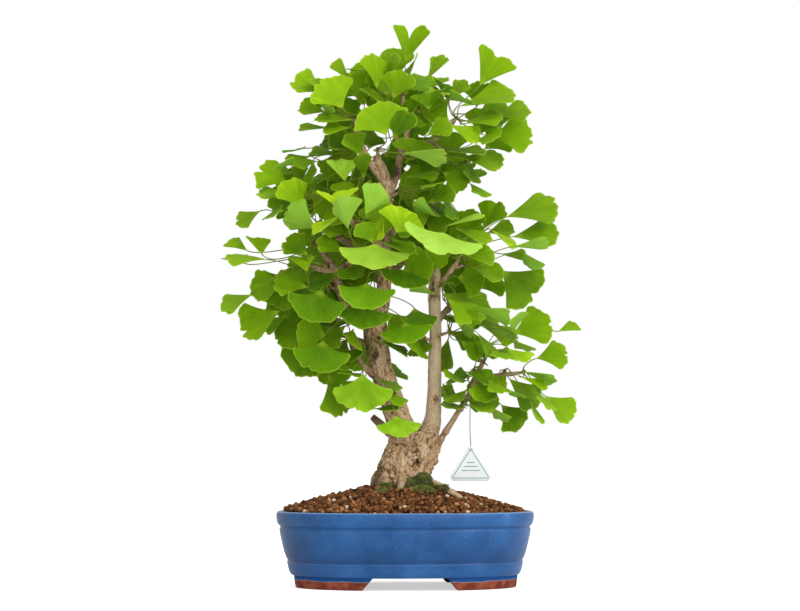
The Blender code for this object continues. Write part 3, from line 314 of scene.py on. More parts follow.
def makeBarkMaterial():
    made, shader, where = newMaterial("bark", Specular_IOR_Level=0.12)
    relief, tint, girth = [attribute(where, name) for name in ("relief", "tint", "girth")]
    long = addNode(
        where.tree, "Mapping", {"Vector": where, "Scale": (1.0, 1.0, 0.3)})
    patches, fine, grain = (
        long.mottle(16.0, 5.0, 1.9), long.mottle(2.2, 4.0, 2.2), where.mottle(0.7, 3.0, 1.6))
    # darker where the relief is low, in fissures, cracks and holes: partly the bark's own colour,
    # partly painted shade in the recesses
    level = relief * 0.72 + patches * 0.2 + fine * 0.22
    thick = level.ramp(
        (0.16, 34, 21, 12), (0.36, 90, 63, 40), (0.54, 148, 114, 80), (0.76, 194, 162, 124),
        (1.0, 228, 208, 178))
    thin = level.ramp((0.15, 96, 72, 52), (0.5, 152, 122, 92), (0.85, 190, 164, 130))
    scabs, lichen = where.mottle(5.0, 5.0, 2.6).fade(0.62, 0.7), where.specks(7.0, 0.26, 0.3)
    colour = (scabs * 0.35).mix(girth.mix(thin, thick), (202, 186, 160))
    colour = (lichen * 0.25).mix(colour, (176, 176, 150))
    colour = (tint.fade(0.45, 0.05) * 0.85).mix(colour, (58, 40, 30))
    colour = (tint.fade(0.55, 0.95) * 0.7).mix(colour, (206, 186, 154))
    joinShader(
        shader, colour, fine + grain * 0.35, 0.9, 0.8, Roughness=grain.fade(0.0, 1.0, 0.75, 0.95))
    return made


def clayColour(where):
    colour = where.mottle(9.0, 5.0, 1.6).ramp(
        (0.2, 98, 42, 28), (0.5, 130, 62, 44), (0.85, 158, 88, 66))
    return (where.specks(1.7, 0.22, 0.3) * 0.5).mix(colour, (92, 50, 40))


def makeGlazeMaterial():
    # blue glaze over all but the underside
    made, shader, where = newMaterial("blueGlaze", Coat_Roughness=0.2, Specular_IOR_Level=0.15)
    x, _, height = where.split()
    cloud, fine = where.mottle(26.0, 4.0, 1.5), where.mottle(1.6, 4.0, 1.6)
    band = (height * 13.0).ramp(
        (0.12, 0.62), (0.3, 0.55), (0.36, 0.2), (0.6, 0.42), (0.74, 0.55), (0.95, 0.6))
    blue = (band * 0.55 + (cloud * 0.5 + fine * 0.26 - 0.1)).ramp(
        (0.1, 22, 60, 102), (0.45, 34, 79, 132), (0.75, 48, 99, 158), (1.0, 74, 126, 182))
    # painted shade: darker towards the pot's left end, the side away from the key light
    blue = (x.fade(-0.08, -0.124) * 0.55).mix(blue, (22, 50, 84))
    edge = attribute(where, "edge")
    blue = edge.fade(0.6, 0.85, 0.0, 0.45).mix(blue, (140, 172, 208))
    blue = edge.fade(0.44, 0.2, 0.0, 0.6).mix(blue, (30, 60, 104))
    pits, motes = where.specks(5.0, 0.09, 0.45), where.specks(8.5, 0.06, 0.4)
    blue = (pits * 0.6).mix(blue, (26, 48, 80))
    blue = (motes * 0.4).mix(blue, (150, 176, 200))
    glazed = height.fade(0.01165, 0.0118)
    joinShader(
        shader, glazed.mix(clayColour(where), blue), pits * -1.2 + cloud * 2.2 + fine * 0.25,
        0.35, 0.35, Roughness=glazed * -0.45 + 0.85, Coat_Weight=glazed * 0.12)
    return made


def makeClayMaterial():
    # the bare feet, with the ragged lower end of the glaze above them
    made, shader, where = newMaterial("bareClay", Specular_IOR_Level=0.15)
    above = where.split()[2] - (where.mottle(16.0, 3.0, 1.6) * 0.0026 + 0.0068)
    colour = above.fade(0.0, 0.0003).mix(clayColour(where), (22, 70, 128))
    lip = (above * (1.0 / 0.0004)).maths("ABSOLUTE")
    colour = lip.fade(1.0, 0.3, 0.0, 0.6).mix(colour, (150, 156, 160))
    grain = where.mottle(0.9, 4.0, 1.8)
    joinShader(shader, colour, grain, 0.3, 0.7, Roughness=grain.fade(0.0, 1.0, 0.8, 0.97))
    return made


def makeGrainMaterial():
    # fired-clay grains: each has its own tint, most of them brown
    made, shader, where = newMaterial("soilGrains", Specular_IOR_Level=0.2)
    grain = where.mottle(1.0, 4.0, 1.8)
    colour = ((grain - 0.5) * 0.16 + attribute(where, "tint")).ramp(
        (0.0, 30, 17, 9), (0.25, 74, 44, 23), (0.5, 120, 76, 42), (0.72, 162, 110, 64),
        (0.86, 196, 148, 98), (0.97, 224, 198, 162))
    joinShader(shader, colour, grain, 0.5, 0.8, Roughness=grain.fade(0.0, 1.0, 0.85, 1.0))
    return made


def makeSoilMaterial():
    # the ground between the grains
    made, shader, where = newMaterial("soilBed", Roughness=1.0, Specular_IOR_Level=0.1)
    gap, own = cells(where, 300.0)
    colour = own.ramp((0.0, 12, 7, 5), (0.6, 32, 20, 12), (1.0, 56, 36, 22))
    joinShader(shader, colour, 1.0 - gap, 1.2, 0.9)
    return made


def makeMossMaterial():
    made, shader, where = newMaterial(
        "moss", Roughness=0.9, Specular_IOR_Level=0.2, Sheen_Weight=0.3)
    patches = where.mottle(5.0, 4.0, 2.0)
    colour = (patches * 0.5 + attribute(where, "tint") * 0.5).ramp(
        (0.1, 56, 58, 14), (0.45, 96, 108, 26), (0.75, 146, 154, 48), (1.0, 190, 182, 96))
    joinShader(shader, colour, patches, 0.6, 0.6)
    return made


def makeCardMaterial():
    # a thin plastic card with a print that is kept on its front
    made, shader, where = newMaterial("tagCard", Roughness=0.38, Specular_IOR_Level=0.45)
    cloud = where.mottle(8.0, 3.0, 1.2)
    card = cloud.mix((226, 232, 230), (240, 243, 242))
    ink = cloud.mix((22, 140, 134), (44, 160, 152))
    colour = attribute(where, "print").mix(card, ink)
    joinShader(shader, colour, where.mottle(0.8, 3.0), 0.05, 0.4)
    return made


def makeWireMaterial():
    made, shader, where = newMaterial("wireSteel", Metallic=0.9)
    cloud = where.mottle(1.5, 4.0, 1.6)
    colour = cloud.mix((92, 92, 90), (132, 132, 128))
    joinShader(shader, colour, cloud, 0.05, 0.5, Roughness=cloud.fade(0.0, 1.0, 0.3, 0.55))
    return made


def makeScreenMaterial():
    # black plastic with the square holes of a drain mesh pressed in
    made, shader, where = newMaterial("screenPlastic", Roughness=0.6)
    across, deep = [axis.wave(3140.0).fade(0.5, 0.7) for axis in where.split()[:2]]
    hole = across * deep
    joinShader(shader, hole.mix((46, 46, 46), (8, 8, 8)), 1.0 - hole, 0.5)
    return made


materials = {
    "leaf_green": makeLeafMaterial(), "bark": makeBarkMaterial(), "blue_glaze": makeGlazeMaterial(),
    "bare_clay": makeClayMaterial(), "soil_grains": makeGrainMaterial(), "moss": makeMossMaterial(),
    "tag_card": makeCardMaterial(), "wire_steel": makeWireMaterial(),
    "screen_plastic": makeScreenMaterial(), "soil_bed": makeSoilMaterial(),
}
print("materials made")


def toMesh(bm, name):
    mesh = bpy.data.meshes.new(name)
    bm.to_mesh(mesh)
    bm.free()
    return mesh


def allOf(bm):
    return bm.verts[:] + bm.edges[:] + bm.faces[:]


def fillOpenings(bm):
    openings = [edge for edge in bm.edges if len(edge.link_faces) == 1]
    bmesh.ops.holes_fill(bm, edges=openings, sides=0)


def toScene(name, data):
    made = bpy.data.objects.new(name, data)
    bpy.context.scene.collection.objects.link(made)
    return made


def finishPiece(source, name, slot, *replaced, crease=None):
    # an object at the origin from a mesh or bmesh in millimetres, riding on the body
    mesh = toMesh(source, name) if isinstance(source, bmesh.types.BMesh) else source
    mesh.name = name
    mesh.transform(Matrix.Scale(mm, 4))
    mesh.materials.clear()
    mesh.materials.append(materials[slot])
    mesh.shade_smooth()
    if crease:
        mesh.set_sharp_from_angle(angle=radians(crease))
    piece = toScene(name, mesh)
    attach(piece, "root")
    if replaced:
        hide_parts(*replaced)
    return piece


def addPointValues(mesh, name, values):
    layer = mesh.attributes.new(name, "FLOAT", "POINT")
    layer.data.foreach_set("value", np.asarray(values, np.float32))


def applyModifiers(mesh, *modifiers):
    # the mesh after modifiers, each given as its kind and its settings
    holder = toScene("holder", mesh)
    for kind, settings in modifiers:
        modifier = holder.modifiers.new(kind, kind)
        for name, value in settings.items():
            setattr(modifier, name, value)
    bpy.context.view_layer.update()
    ready = holder.evaluated_get(bpy.context.evaluated_depsgraph_get())
    made = bpy.data.meshes.new_from_object(ready)
    bpy.data.objects.remove(holder)
    return made


def tubeCurve(name, paths, radius, resolution):
    # round tubes with closed ends through paths of (point, share of the radius)
    curve = bpy.data.curves.new(name, "CURVE")
    curve.dimensions = "3D"
    curve.bevel_depth, curve.bevel_resolution = radius, resolution
    curve.use_fill_caps = True
    for path in paths:
        spline = curve.splines.new("POLY")
        spline.points.add(len(path) - 1)
        for target, (point, share) in zip(spline.points, path):
            target.co = (*point, 1.0)
            target.radius = share
    return curve


def tubeMesh(paths, sides):
    holder = bpy.data.objects.new("tubes", tubeCurve("tubes", paths, 1.0, (sides - 4) // 2))
    mesh = bpy.data.meshes.new_from_object(holder)
    bpy.data.objects.remove(holder)
    return mesh


def surfaceOf(mesh):
    # a mesh in metres as a surface in millimetres that rays can be cast at
    points = [vert.co / mm for vert in mesh.vertices]
    return BVHTree.FromPolygons(points, [tuple(face.vertices) for face in mesh.polygons])


def stampCopies(name, slot, templates, placements, tints, replaced=()):
    # one piece made of many copies of small template meshes, each with its own tint
    points, faces, tones = [], [], []
    first = 0
    for number, (matrix, tint) in enumerate(zip(placements, tints)):
        corners, sides = templates[number % len(templates)]
        turned = corners @ np.array(matrix.to_3x3()).T + np.array(matrix.translation)
        points.append(turned)
        faces.append(sides + first)
        tones.append(np.full(len(corners), tint))
        first += len(corners)
    mesh = bpy.data.meshes.new(name)
    mesh.from_pydata(np.concatenate(points), [], np.concatenate(faces))
    addPointValues(mesh, "tint", np.concatenate(tones))
    return finishPiece(mesh, name, slot, *replaced)


def templateOf(bm):
    # the points and faces of a small shape whose faces all have as many corners
    bm.verts.ensure_lookup_table()
    corners = np.array([vert.co for vert in bm.verts])
    sides = np.array([[vert.index for vert in face.verts] for face in bm.faces])
    bm.free()
    return corners, sides


# Camera, floor and lights. The camera sees a white room, whose light on the plant is weaker.
studio = {
    "floorSize": 60.0, "floorColour": srgb(242, 242, 242), "sky": srgb(255, 255, 255),
    "skyLight": 0.88, "floorGlow": 0.62, "floorHeight": -0.0002,
    "lamps": {
        "key": {"place": (2.1, -1.5, 2.3), "aim": (0.0, 0.0, 0.3), "size": 1.2, "power": 38.0},
        "fill": {"place": (0.7, -2.6, 0.7), "aim": (0.0, 0.0, 0.3), "size": 2.0, "power": 20.0},
    },
}


def makeStudio():
    scene = bpy.context.scene
    eye, aim = [
        (right * spot.x + away * spot.y + up * spot.z) * mm
        for spot in (camera["eye"], camera["aim"])]
    lens = bpy.data.cameras.new("camera")
    lens.lens, lens.sensor_width, lens.clip_end = camera["lens"], camera["sensor"], 200.0
    scene.camera = aimed(toScene("camera", lens), eye, aim)
    for name, lamp in studio["lamps"].items():
        light = bpy.data.lights.new(name, "AREA")
        light.shape, light.size, light.energy = "DISK", lamp["size"], lamp["power"]
        aimed(toScene(name, light), Vector(lamp["place"]), Vector(lamp["aim"]))
    world = bpy.data.worlds.new("studio")
    world.use_nodes = True
    backdrop = world.node_tree.nodes["Background"]
    backdrop.inputs[0].default_value = studio["sky"]
    looking = addNode(world.node_tree, "LightPath", out="Is Camera Ray")
    level = looking.fade(0.0, 1.0, studio["skyLight"], 1.0)
    world.node_tree.links.new(level.socket, backdrop.inputs[1])
    scene.world = world
    bm = bmesh.new()
    bmesh.ops.create_grid(bm, x_segments=1, y_segments=1, size=studio["floorSize"] / 2)
    floor = toScene("floor", toMesh(bm, "floor"))
    made, shader, where = newMaterial(
        "paleFloor", Roughness=0.9, Specular_IOR_Level=0.1, Base_Color=studio["floorColour"],
        Emission_Color=studio["floorColour"])
    glow = addNode(where.tree, "LightPath", out="Is Camera Ray") * studio["floorGlow"]
    where.tree.links.new(glow.socket, shader.inputs["Emission Strength"])
    floor.data.materials.append(made)
    floor.location.z = studio["floorHeight"]
    scene.view_settings.view_transform = "Standard"
    scene.view_settings.look = "None"


def aimed(item, eye, aim):
    item.location = eye
    item.rotation_euler = (aim - eye).to_track_quat("-Z", "Y").to_euler()
    return item


makeStudio()
print("camera, floor and lights set")


# The tag and the thin wire that it hangs from.
tag = {
    "apex": (65.5, 138.0), "base": 104.0, "half": 20.5, "thick": 0.6, "corner": 4.0, "depth": -9.0,
    "arcSteps": 10, "border": 2.4, "borderLine": 0.7, "lineHalf": 0.35,
    "lines": [(114.5, 9.0), (118.5, 6.4), (122.5, 3.8)],
    "wireRadius": 0.4, "wireSteps": 3, "eyelet": (135.2, 1.5, 0.38),
    "wireRoute": [
        (65.0, 180.5), (64.9, 172.0), (64.7, 163.0), (64.8, 153.0), (65.2, 145.0), (65.5, 138.4)],
}
tag["front"] = tag["depth"] - tag["thick"] / 2


def makeWire():
    route = [place(x, z, tag["depth"]) * mm for x, z in tag["wireRoute"]]
    points = [Vector(row) for row in smoothCurve(route, tag["wireSteps"])]
    path = [(point, 1.0) for point in points]
    curve = tubeCurve("tag_wire_steel", [path], tag["wireRadius"] * mm, 2)
    curve.materials.append(materials["wire_steel"])
    wire = toScene("tag_wire_steel", curve)
    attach(wire, "root")
    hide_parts("tag_wire")
    length = sum((b - a).length for a, b in zip(points, points[1:]))
    return wire, points[0], length


def tagOutline():
    x, top = tag["apex"]
    radius = tag["corner"]
    side, low = tag["half"] - radius, tag["base"] + radius
    found = []
    for corner, (cx, cz) in enumerate([(x, top - radius), (x - side, low), (x + side, low)]):
        start = radians(30) + corner * tau / 3
        for k in range(tag["arcSteps"] + 1):
            angle = start + k * tau / 3 / tag["arcSteps"]
            found.append(place(
                cx + radius * cos(angle), cz + radius * sin(angle), tag["front"]))
    return found


def makeTag():
    bm = bmesh.new()
    printed = bm.verts.layers.float.new("print")
    face = bm.faces.new([bm.verts.new(point) for point in tagOutline()])
    back = bmesh.ops.extrude_face_region(bm, geom=[face], use_keep_orig=True)["geom"]
    moved = [part for part in back if isinstance(part, bmesh.types.BMVert)]
    bmesh.ops.translate(bm, vec=away * tag["thick"], verts=moved)
    bmesh.ops.recalc_face_normals(bm, faces=bm.faces)
    edges = [edge for edge in bm.edges if edge.calc_face_angle(0.0) > 1.0]
    bmesh.ops.bevel(
        bm, geom=edges, offset=0.12, segments=1, profile=0.5, affect="EDGES", material=-1)
    front = max(bm.faces, key=lambda f: -f.normal.dot(away) * f.calc_area())
    for width, inked in ((tag["border"], 0.0), (0.02, 1.0), (tag["borderLine"], 1.0), (0.02, 0.0)):
        bmesh.ops.inset_region(bm, faces=[front], thickness=width, use_even_offset=True)
        for vert in front.verts:
            vert[printed] = inked
    for height, half in tag["lines"]:
        middle = place(tag["apex"][0], height, tag["front"])
        size = Matrix.Diagonal((2 * half, 0.05, 2 * tag["lineHalf"], 1.0))
        strip = bmesh.ops.create_cube(
            bm, size=1.0, matrix=Matrix.Translation(middle) @ facing @ size)["verts"]
        for vert in strip:
            vert[printed] = 1.0
    return finishPiece(bm, "tag_card", "tag_card", "tag")


def makeEyelet():
    # a small steel ring at the tag's top that the wire ends in
    height, radius, thick = tag["eyelet"]
    middle = place(tag["apex"][0], height, tag["depth"])
    bm = bmesh.new()
    ring = bmesh.ops.create_circle(
        bm, segments=10, radius=thick, matrix=Matrix.Translation((radius, 0.0, 0.0)))["verts"]
    edges = list({edge for vert in ring for edge in vert.link_edges})
    bmesh.ops.spin(
        bm, geom=ring + edges, cent=(0, 0, 0), axis=(0, 1, 0), angle=tau, steps=28,
        use_merge=True)
    bmesh.ops.transform(bm, matrix=Matrix.Translation(middle) @ facing, verts=bm.verts)
    bmesh.ops.recalc_face_normals(bm, faces=bm.faces)
    return finishPiece(bm, "tag_eyelet", "wire_steel")


wire, wireTop, wireLength = makeWire()
card, eyelet = makeTag(), makeEyelet()
print("tag and wire made")


# The base of the trunk: height, middle, half width and half depth of its sections.
base = {
    "sections": [
        (78.0, -4.0, 33.0, 27.0), (90.0, -4.0, 34.0, 29.0), (100.0, -4.5, 32.0, 27.0),
        (112.0, -2.0, 30.0, 25.5), (124.0, 2.5, 30.0, 24.5), (136.0, 7.0, 28.5, 22.5),
        (146.0, 9.4, 26.0, 18.5), (153.0, 10.0, 22.0, 14.0)],
    "sides": 18, "flute": 0.03, "lobes": 5, "twist": 0.05, "fineSides": 64, "fineSteps": 4,
}

# Limbs: x, z, depth and radius along each, from its foot to its tip.
limbs = {
    "left_trunk": [
        (0, 128, 0, 17), (-2, 150, 0, 14.6), (-8, 170, 0, 12.8), (-13, 184, 0, 12),
        (-18, 198, 0, 11.4), (-22, 211, 0, 11), (-25.5, 226, 0, 11), (-29.5, 254, 0, 12.3),
        (-28, 268, 1, 10.6), (-22.5, 284, 2, 7.6), (-21, 304, 3, 7), (-19.5, 332, 4, 6.4),
        (-18.5, 370, 4, 5.6), (-16.5, 396, 3, 4.6), (-21, 414, 1, 4.6), (-29, 428, -1, 3.6),
    ],
    "broken_top": [(-19, 408, 2, 3.8), (-20, 420, 3, 3.4), (-20, 430, 4, 2.6)],
    "right_trunk": [
        (14, 132, 2, 17), (22, 150, 2, 12.4), (27.3, 164, 2, 8.8), (29, 184, 2, 7.3),
        (29.7, 226, 3, 6.5), (30.4, 254, 3, 5.9), (29.4, 284, 3, 6.3), (30, 302, 3, 6.1),
        (31.5, 310, 3, 4.4), (32, 317, 3, 2.2),
    ],
    "right_bough": [(29, 293, 3, 3.6), (38, 304, 2, 2.8), (45, 313, 0, 2.4), (51, 321, -2, 2.2)],
    "up_left": [
        (-32, 258, 0, 8.6), (-42, 265, -3, 8), (-53, 277, -6, 7), (-62, 290, -8, 6),
        (-69, 303, -10, 5), (-71, 314, -10, 4.4), (-78, 326, -9, 3.6), (-86, 336, -8, 2.8),
    ],
    "low_left": [(-70, 308, -10, 3.6), (-80, 314, -13, 3), (-91, 317, -14, 2.6)],
    "red_spur": [(-70, 311, -10, 3.6), (-63, 317, -11, 3.2), (-56, 321, -12, 3)],
    "thin_left": [
        (-27, 206, -2, 3.4), (-37, 214, -5, 3.2), (-46, 226, -8, 2.7), (-53, 238, -10, 2.4)],
    "stub": [(-6, 146, -4, 6), (-16, 153, -6, 5), (-25, 161, -7, 4.2), (-33, 168, -8, 3.2)],
    "right_branch": [
        (28, 135, 0, 4.4), (36, 146, 0, 3.3), (50, 168, 0, 2.7), (62, 187, 0, 2.5),
        (70, 202, 0, 2.6), (74, 214, 0, 2.6), (80, 226, 0, 2.2),
    ],
    "right_twig": [(73, 209, 0, 2.2), (84, 209, 1, 1.8), (97, 210, 1, 1.9), (111, 211, 0, 1.8)],
    "crown": [
        (-16, 392, 3, 4.4), (-9, 408, 9, 3.8), (-5, 428, 10, 3.4), (1, 448, 7, 3),
        (1, 466, 4, 2.6), (-2, 484, 2, 2.2),
    ],
    "crown_left": [
        (-18, 396, 3, 3.8), (-27, 410, -2, 3.2), (-36, 424, -5, 3), (-44, 442, -4, 2.7),
        (-49, 460, -1, 2.3),
    ],
    "crown_right": [
        (-4, 430, 10, 3), (10, 438, 11, 2.8), (25, 444, 9, 2.6), (37, 452, 6, 2.4),
        (46, 461, 4, 2.2),
    ],
    "crown_front": [(-4, 432, 9, 2.8), (-8, 446, -2, 2.5), (-11, 460, -11, 2.2)],
    "back_right": [
        (-18, 350, 5, 4.6), (4, 364, 22, 3.8), (26, 382, 33, 3.2), (44, 400, 34, 2.8),
        (57, 416, 30, 2.3),
    ],
    "front_left": [
        (-19, 334, 3, 4.6), (-33, 346, -14, 3.8), (-47, 357, -24, 3.2), (-59, 370, -25, 2.8),
        (-72, 384, -22, 2.3),
    ],
    "back_left": [
        (-20, 312, 5, 4.8), (-36, 326, 26, 3.8), (-58, 342, 42, 3.2), (-82, 356, 50, 2.4),
    ],
    "back_middle": [(-20, 306, 5, 4.4), (-6, 318, 34, 3.4), (6, 336, 58, 2.6)],
    "low_back": [(-26, 232, 3, 4.4), (-42, 242, 30, 3.4), (-64, 250, 52, 2.4)],
    "right_back": [(30, 262, 4, 3.8), (44, 276, 26, 3), (64, 290, 46, 2.4)],
}

# Roots, the two that show and those that hold the tree in the soil, and the thick broken end of
# the left trunk.
roots = {
    "pale_root": [
        (8, 104, -14, 5.4), (20, 105, -24, 3.8), (33, 101, -31, 3.3), (45, 94, -37, 3),
        (58, 86, -42, 2.4),
    ],
    "trunk_end": [(-17, 392, 3, 5.2), (-20, 406, 2, 4.8), (-24, 418, 0, 4.6), (-30, 429, -2, 3.9)],
    "grey_root": [(-3, 110, -20, 5), (-4, 103, -28, 3.6), (-5, 95, -33, 3.2), (-6, 86, -36, 2.6)],
    "root_left": [(-20, 92, 0, 9), (-44, 76, 4, 6), (-72, 62, 8, 3.6)],
    "root_right": [(12, 92, 4, 9), (38, 74, 12, 6), (70, 58, 20, 3.6)],
    "root_front": [(-10, 90, -10, 8), (-18, 74, -34, 5.5), (-30, 58, -56, 3.2)],
    "root_back": [(2, 90, 10, 8), (8, 72, 36, 5.5), (14, 56, 58, 3.2)],
}

# Bark: how rough it is, and its marks: knots and holes (x, z, depth, radius and height), wounds
# with a patch of painted shade on the crown's limb, patches of painted shade on the left side
# where less light falls, and pale places (x, z, depth and radius), and how light each limb is,
# the crown's limbs darker as painted shade.
bark = {
    "voxel": 0.95, "lumps": 1.1, "fissures": 0.75, "gnarls": 2.3, "gnarlTop": 168.0, "girth": 13.0,
    "marks": [
        (18, 134, -26, 5.0, 1.6), (18, 134, -28, 2.4, -2.6), (15, 122, -28, 4.0, -2.2),
        (-22, 118, -22, 7.0, 2.0), (30, 112, -16, 6.0, 2.2), (0, 106, -28, 6.0, 1.8),
        (-14, 142, -20, 5.0, 1.8), (-6, 198, -12, 3.6, 1.6), (-30, 229, -11, 3.6, 1.8),
        (30, 185, -7, 3.2, 1.2), (34, 232, -6, 2.6, 1.0), (-24, 172, -10, 3.0, 1.2),
        (-22, 262, -12, 4.0, 1.6), (24, 160, -10, 3.6, 1.2)],
    "woundAndShade": [
        (25, 288, -3, 3.6), (30, 288, -5, 3.6), (35, 288, -3, 3.4), (27, 295, -4, 4.4),
        (27, 301, -4, 4.2), (28, 307, -4, 3.8), (-31, 429, -5, 4.0), (30, 185, -6, 3.8),
        (35, 247, -3, 4.0), (-30, 229, -12, 4.2), (18, 134, -28, 3.0), (-8, 198, -12, 3.4),
        # the wide patch at (-10, 414) is painted shade on the crown's limb, over a dark hollow
        (-10, 414, 4, 8.0), (80, 222, 0, 4.0),
        (-60, 318, -12, 4.0), (-22, 168, -10, 2.2), (-72, 300, -12, 2.4)],
    # painted shade: darker patches on the left side of the base and the left trunk, away from the
    # light
    "paintedShade": [
        (-36, 98, -16, 15), (-35, 118, -12, 15), (-28, 140, -8, 12), (-25, 176, -4, 8),
        (-32, 204, -4, 8), (-40, 240, -4, 9), (-40, 262, -4, 8), (24, 145, -2, 5)],
    "pale": [(-29, 432, -3, 6.0), (-20, 428, 0, 5.0), (33, 313, -3, 4.5)],
    # how light each limb's bark is: the crown's two limbs are darker as painted shade, inside the
    # crown
    "tints": {
        "pale_root": 0.78, "right_trunk": 0.9, "left_trunk": 0.42, "base": 0.5, "stub": 0.06,
        "up_left": 0.3, "crown": 0.2, "crown_left": 0.2, "right_twig": 0.25, "trunk_end": 0.42,
        "right_branch": 0.62, "grey_root": 0.6},
    "inside": ("broken_top",), "plainTint": 0.4, "thinFrom": 5.2, "steps": 6, "cracks": 2.2,
    "crackWide": 0.2, "inset": 1.5, "markDeep": 0.7, "widest": 9.0,
}


def baseRing(section, sides, room=0.0):
    height, middle, half, depth = section
    ring = []
    for k in range(sides):
        angle = k * tau / sides
        swell = 1.0 + base["flute"] * cos(base["lobes"] * angle + base["twist"] * height)
        across = middle + (half + room) * cos(angle) * swell
        ring.append(place(across, height, (depth + room) * sin(angle) * swell))
    return ring


def baseMesh(bm):
    # the base drawn up from its lowest ring, section by section
    sections = smoothCurve(base["sections"], base["fineSteps"])
    ring = bmesh.ops.create_circle(bm, cap_ends=True, segments=base["fineSides"])["verts"]
    cap = ring[0].link_faces[0]
    for number, section in enumerate(sections):
        if number:
            cap = bmesh.ops.extrude_discrete_faces(bm, faces=[cap])["faces"][0]
        for vert, point in zip(cap.verts, baseRing(section, base["fineSides"])):
            vert.co = point
    fillOpenings(bm)


def limbCurves():
    # every limb and root as a fine path, thick ones apart from thin ones
    thick, thin = {}, {}
    for name, rows in {**limbs, **roots}.items():
        if name in bark["inside"]:
            continue
        group = thick if rows[0][3] >= bark["thinFrom"] else thin
        group[name] = placed(smoothCurve(rows, bark["steps"]))
    return thick, thin


def barkRelief(point, along, radius):
    # how far the bark stands out or in at a point, in millimetres, and how rough it is from 0 to 1,
    # which the colour follows: low and dark in fissures and cracks, partly the bark's own colour
    # there and partly painted shade in these recesses
    girth = min(1.0, radius / bark["girth"])
    run = point - along * (point.dot(along) * 0.72)
    ridge = 1.0 - abs(noise.noise(run * 0.34)) * 2.4
    split = 1.0 - abs(noise.noise(run * 0.8 + Vector((9.0, 3.0, 5.0)))) * 2.2
    lump = noise.noise(point * 0.085) + 0.5 * noise.noise(point * 0.2)
    rough = 0.6 * ridge + 0.4 * split
    height = girth * (bark["lumps"] * lump + bark["fissures"] * (rough - 0.35))
    low = bounded((bark["gnarlTop"] - point.z) / 45.0) * girth
    if low:
        swirl = point + noise.noise_vector(point * 0.05) * 9.0
        knurl = noise.noise(swirl * 0.11) + 0.6 * (0.4 - abs(noise.noise(swirl * 0.26)) * 2.0)
        height += low * (bark["gnarls"] * knurl - bark["inset"])
        rough = rough * (1.0 - low * 0.5) + low * 0.5 * (0.5 + knurl)
        cell = point + noise.noise_vector(point * 0.12) * 3.0
        nearest = noise.voronoi(Vector((cell.x * 0.2, cell.y * 0.2, cell.z * 0.15)))[0]
        crack = max(0.0, 1.0 - (nearest[1] - nearest[0]) / bark["crackWide"])
        # the cracks are worn away in places, most of all on the right
        worn = 0.62 + 1.7 * noise.noise(point * 0.055 + Vector((3.0, 1.0, 8.0))) - 0.011 * point.x
        crack *= bounded(worn, 0.12)
        height -= low * bark["cracks"] * crack
        rough += low * (0.18 - crack * 1.1)
    return height, bounded(0.5 + 0.55 * (rough - 0.3) + 0.12 * lump)


def markShare(point, centre, size, reach=2.5):
    # how much of a soft round mark a point gets
    part = (point - centre).length / size
    return exp(-part * part) if part < reach else 0.0


def growBark(mesh, lines):
    # moves each point by the relief of the limb that it belongs to, and notes what the finish reads
    tree = KDTree(sum(len(path) for path in lines.values()))
    around = []
    for name, path in lines.items():
        for i, (centre, radius) in enumerate(path):
            before, after = path[max(i - 1, 0)][0], path[min(i + 1, len(path) - 1)][0]
            tree.insert(centre, len(around))
            tint = bark["tints"].get(name, bark["plainTint"])
            around.append((radius, (after - before).normalized(), tint))
    tree.balance()
    marks, woundsAndShade, pales, shades = [
        placed(bark[kind]) for kind in ("marks", "woundAndShade", "pale", "paintedShade")]
    plain = bark["tints"]["base"]
    relief, tints, girths = [], [], []
    normals = [vert.normal.copy() for vert in mesh.vertices]
    for vert, normal in zip(mesh.vertices, normals):
        point = vert.co.copy()
        _, index, gap = tree.find(point)
        radius, along, tint = around[index]
        if gap > radius * 1.7:
            tint = plain
        elif abs(point.y) < 20.0 and point.z < bark["gnarlTop"]:
            tint = plain + (tint - plain) * max(0.0, 1.0 - (bark["gnarlTop"] - point.z) / 30.0)
        radius = max(radius, min(gap, 30.0) * 0.8)
        height, rough = barkRelief(point, along, radius)
        for centre, size, stands in marks:
            part = markShare(point, centre, size)
            height += stands * part
            # holes are darker in colour: partly painted shade in the recess
            rough -= 0.3 * part if stands < 0 else 0.0
        # wounds darken the bark; the wide one on the crown's limb is painted shade
        for centre, size in woundsAndShade:
            part = markShare(point, centre, size)
            tint *= 1.0 - part
            height -= bark["markDeep"] * part
        # painted shade darkens the bark's left side
        for centre, size in shades:
            tint *= 1.0 - 0.8 * markShare(point, centre, size, bark["widest"])
        for centre, size in pales:
            tint += 0.45 * markShare(point, centre, size, bark["widest"])
        vert.co = point + normal * height
        relief.append(bounded(rough))
        tints.append(bounded(tint))
        girths.append(min(1.0, radius / 7.0))
    addPointValues(mesh, "relief", relief)
    addPointValues(mesh, "tint", tints)
    addPointValues(mesh, "girth", girths)


def makeTrunks():
    # base, trunks and thick boughs as one skin, then their bark
    thick, _ = limbCurves()
    bm = bmesh.new()
    baseMesh(bm)
    bm.from_mesh(tubeMesh(list(thick.values()), 20))
    bmesh.ops.remove_doubles(bm, verts=bm.verts, dist=0.001)
    bmesh.ops.recalc_face_normals(bm, faces=bm.faces)
    skin = applyModifiers(
        toMesh(bm, "trunks"), ("REMESH", {"mode": "VOXEL", "voxel_size": bark["voxel"]}),
        ("SMOOTH", {"factor": 0.5, "iterations": 6}))
    middles = [(place(middle, height, 0.0), half) for height, middle, half, _ in base["sections"]]
    growBark(skin, {**thick, "base": middles})
    return finishPiece(skin, "bark_trunks", "bark", "wood")


twig = {
    "seed": 41, "swellOften": 0.14, "swell": (0.12, 0.3), "fades": 0.55, "uneven": (0.97, 1.03),
    "ringed": 0.14,
}


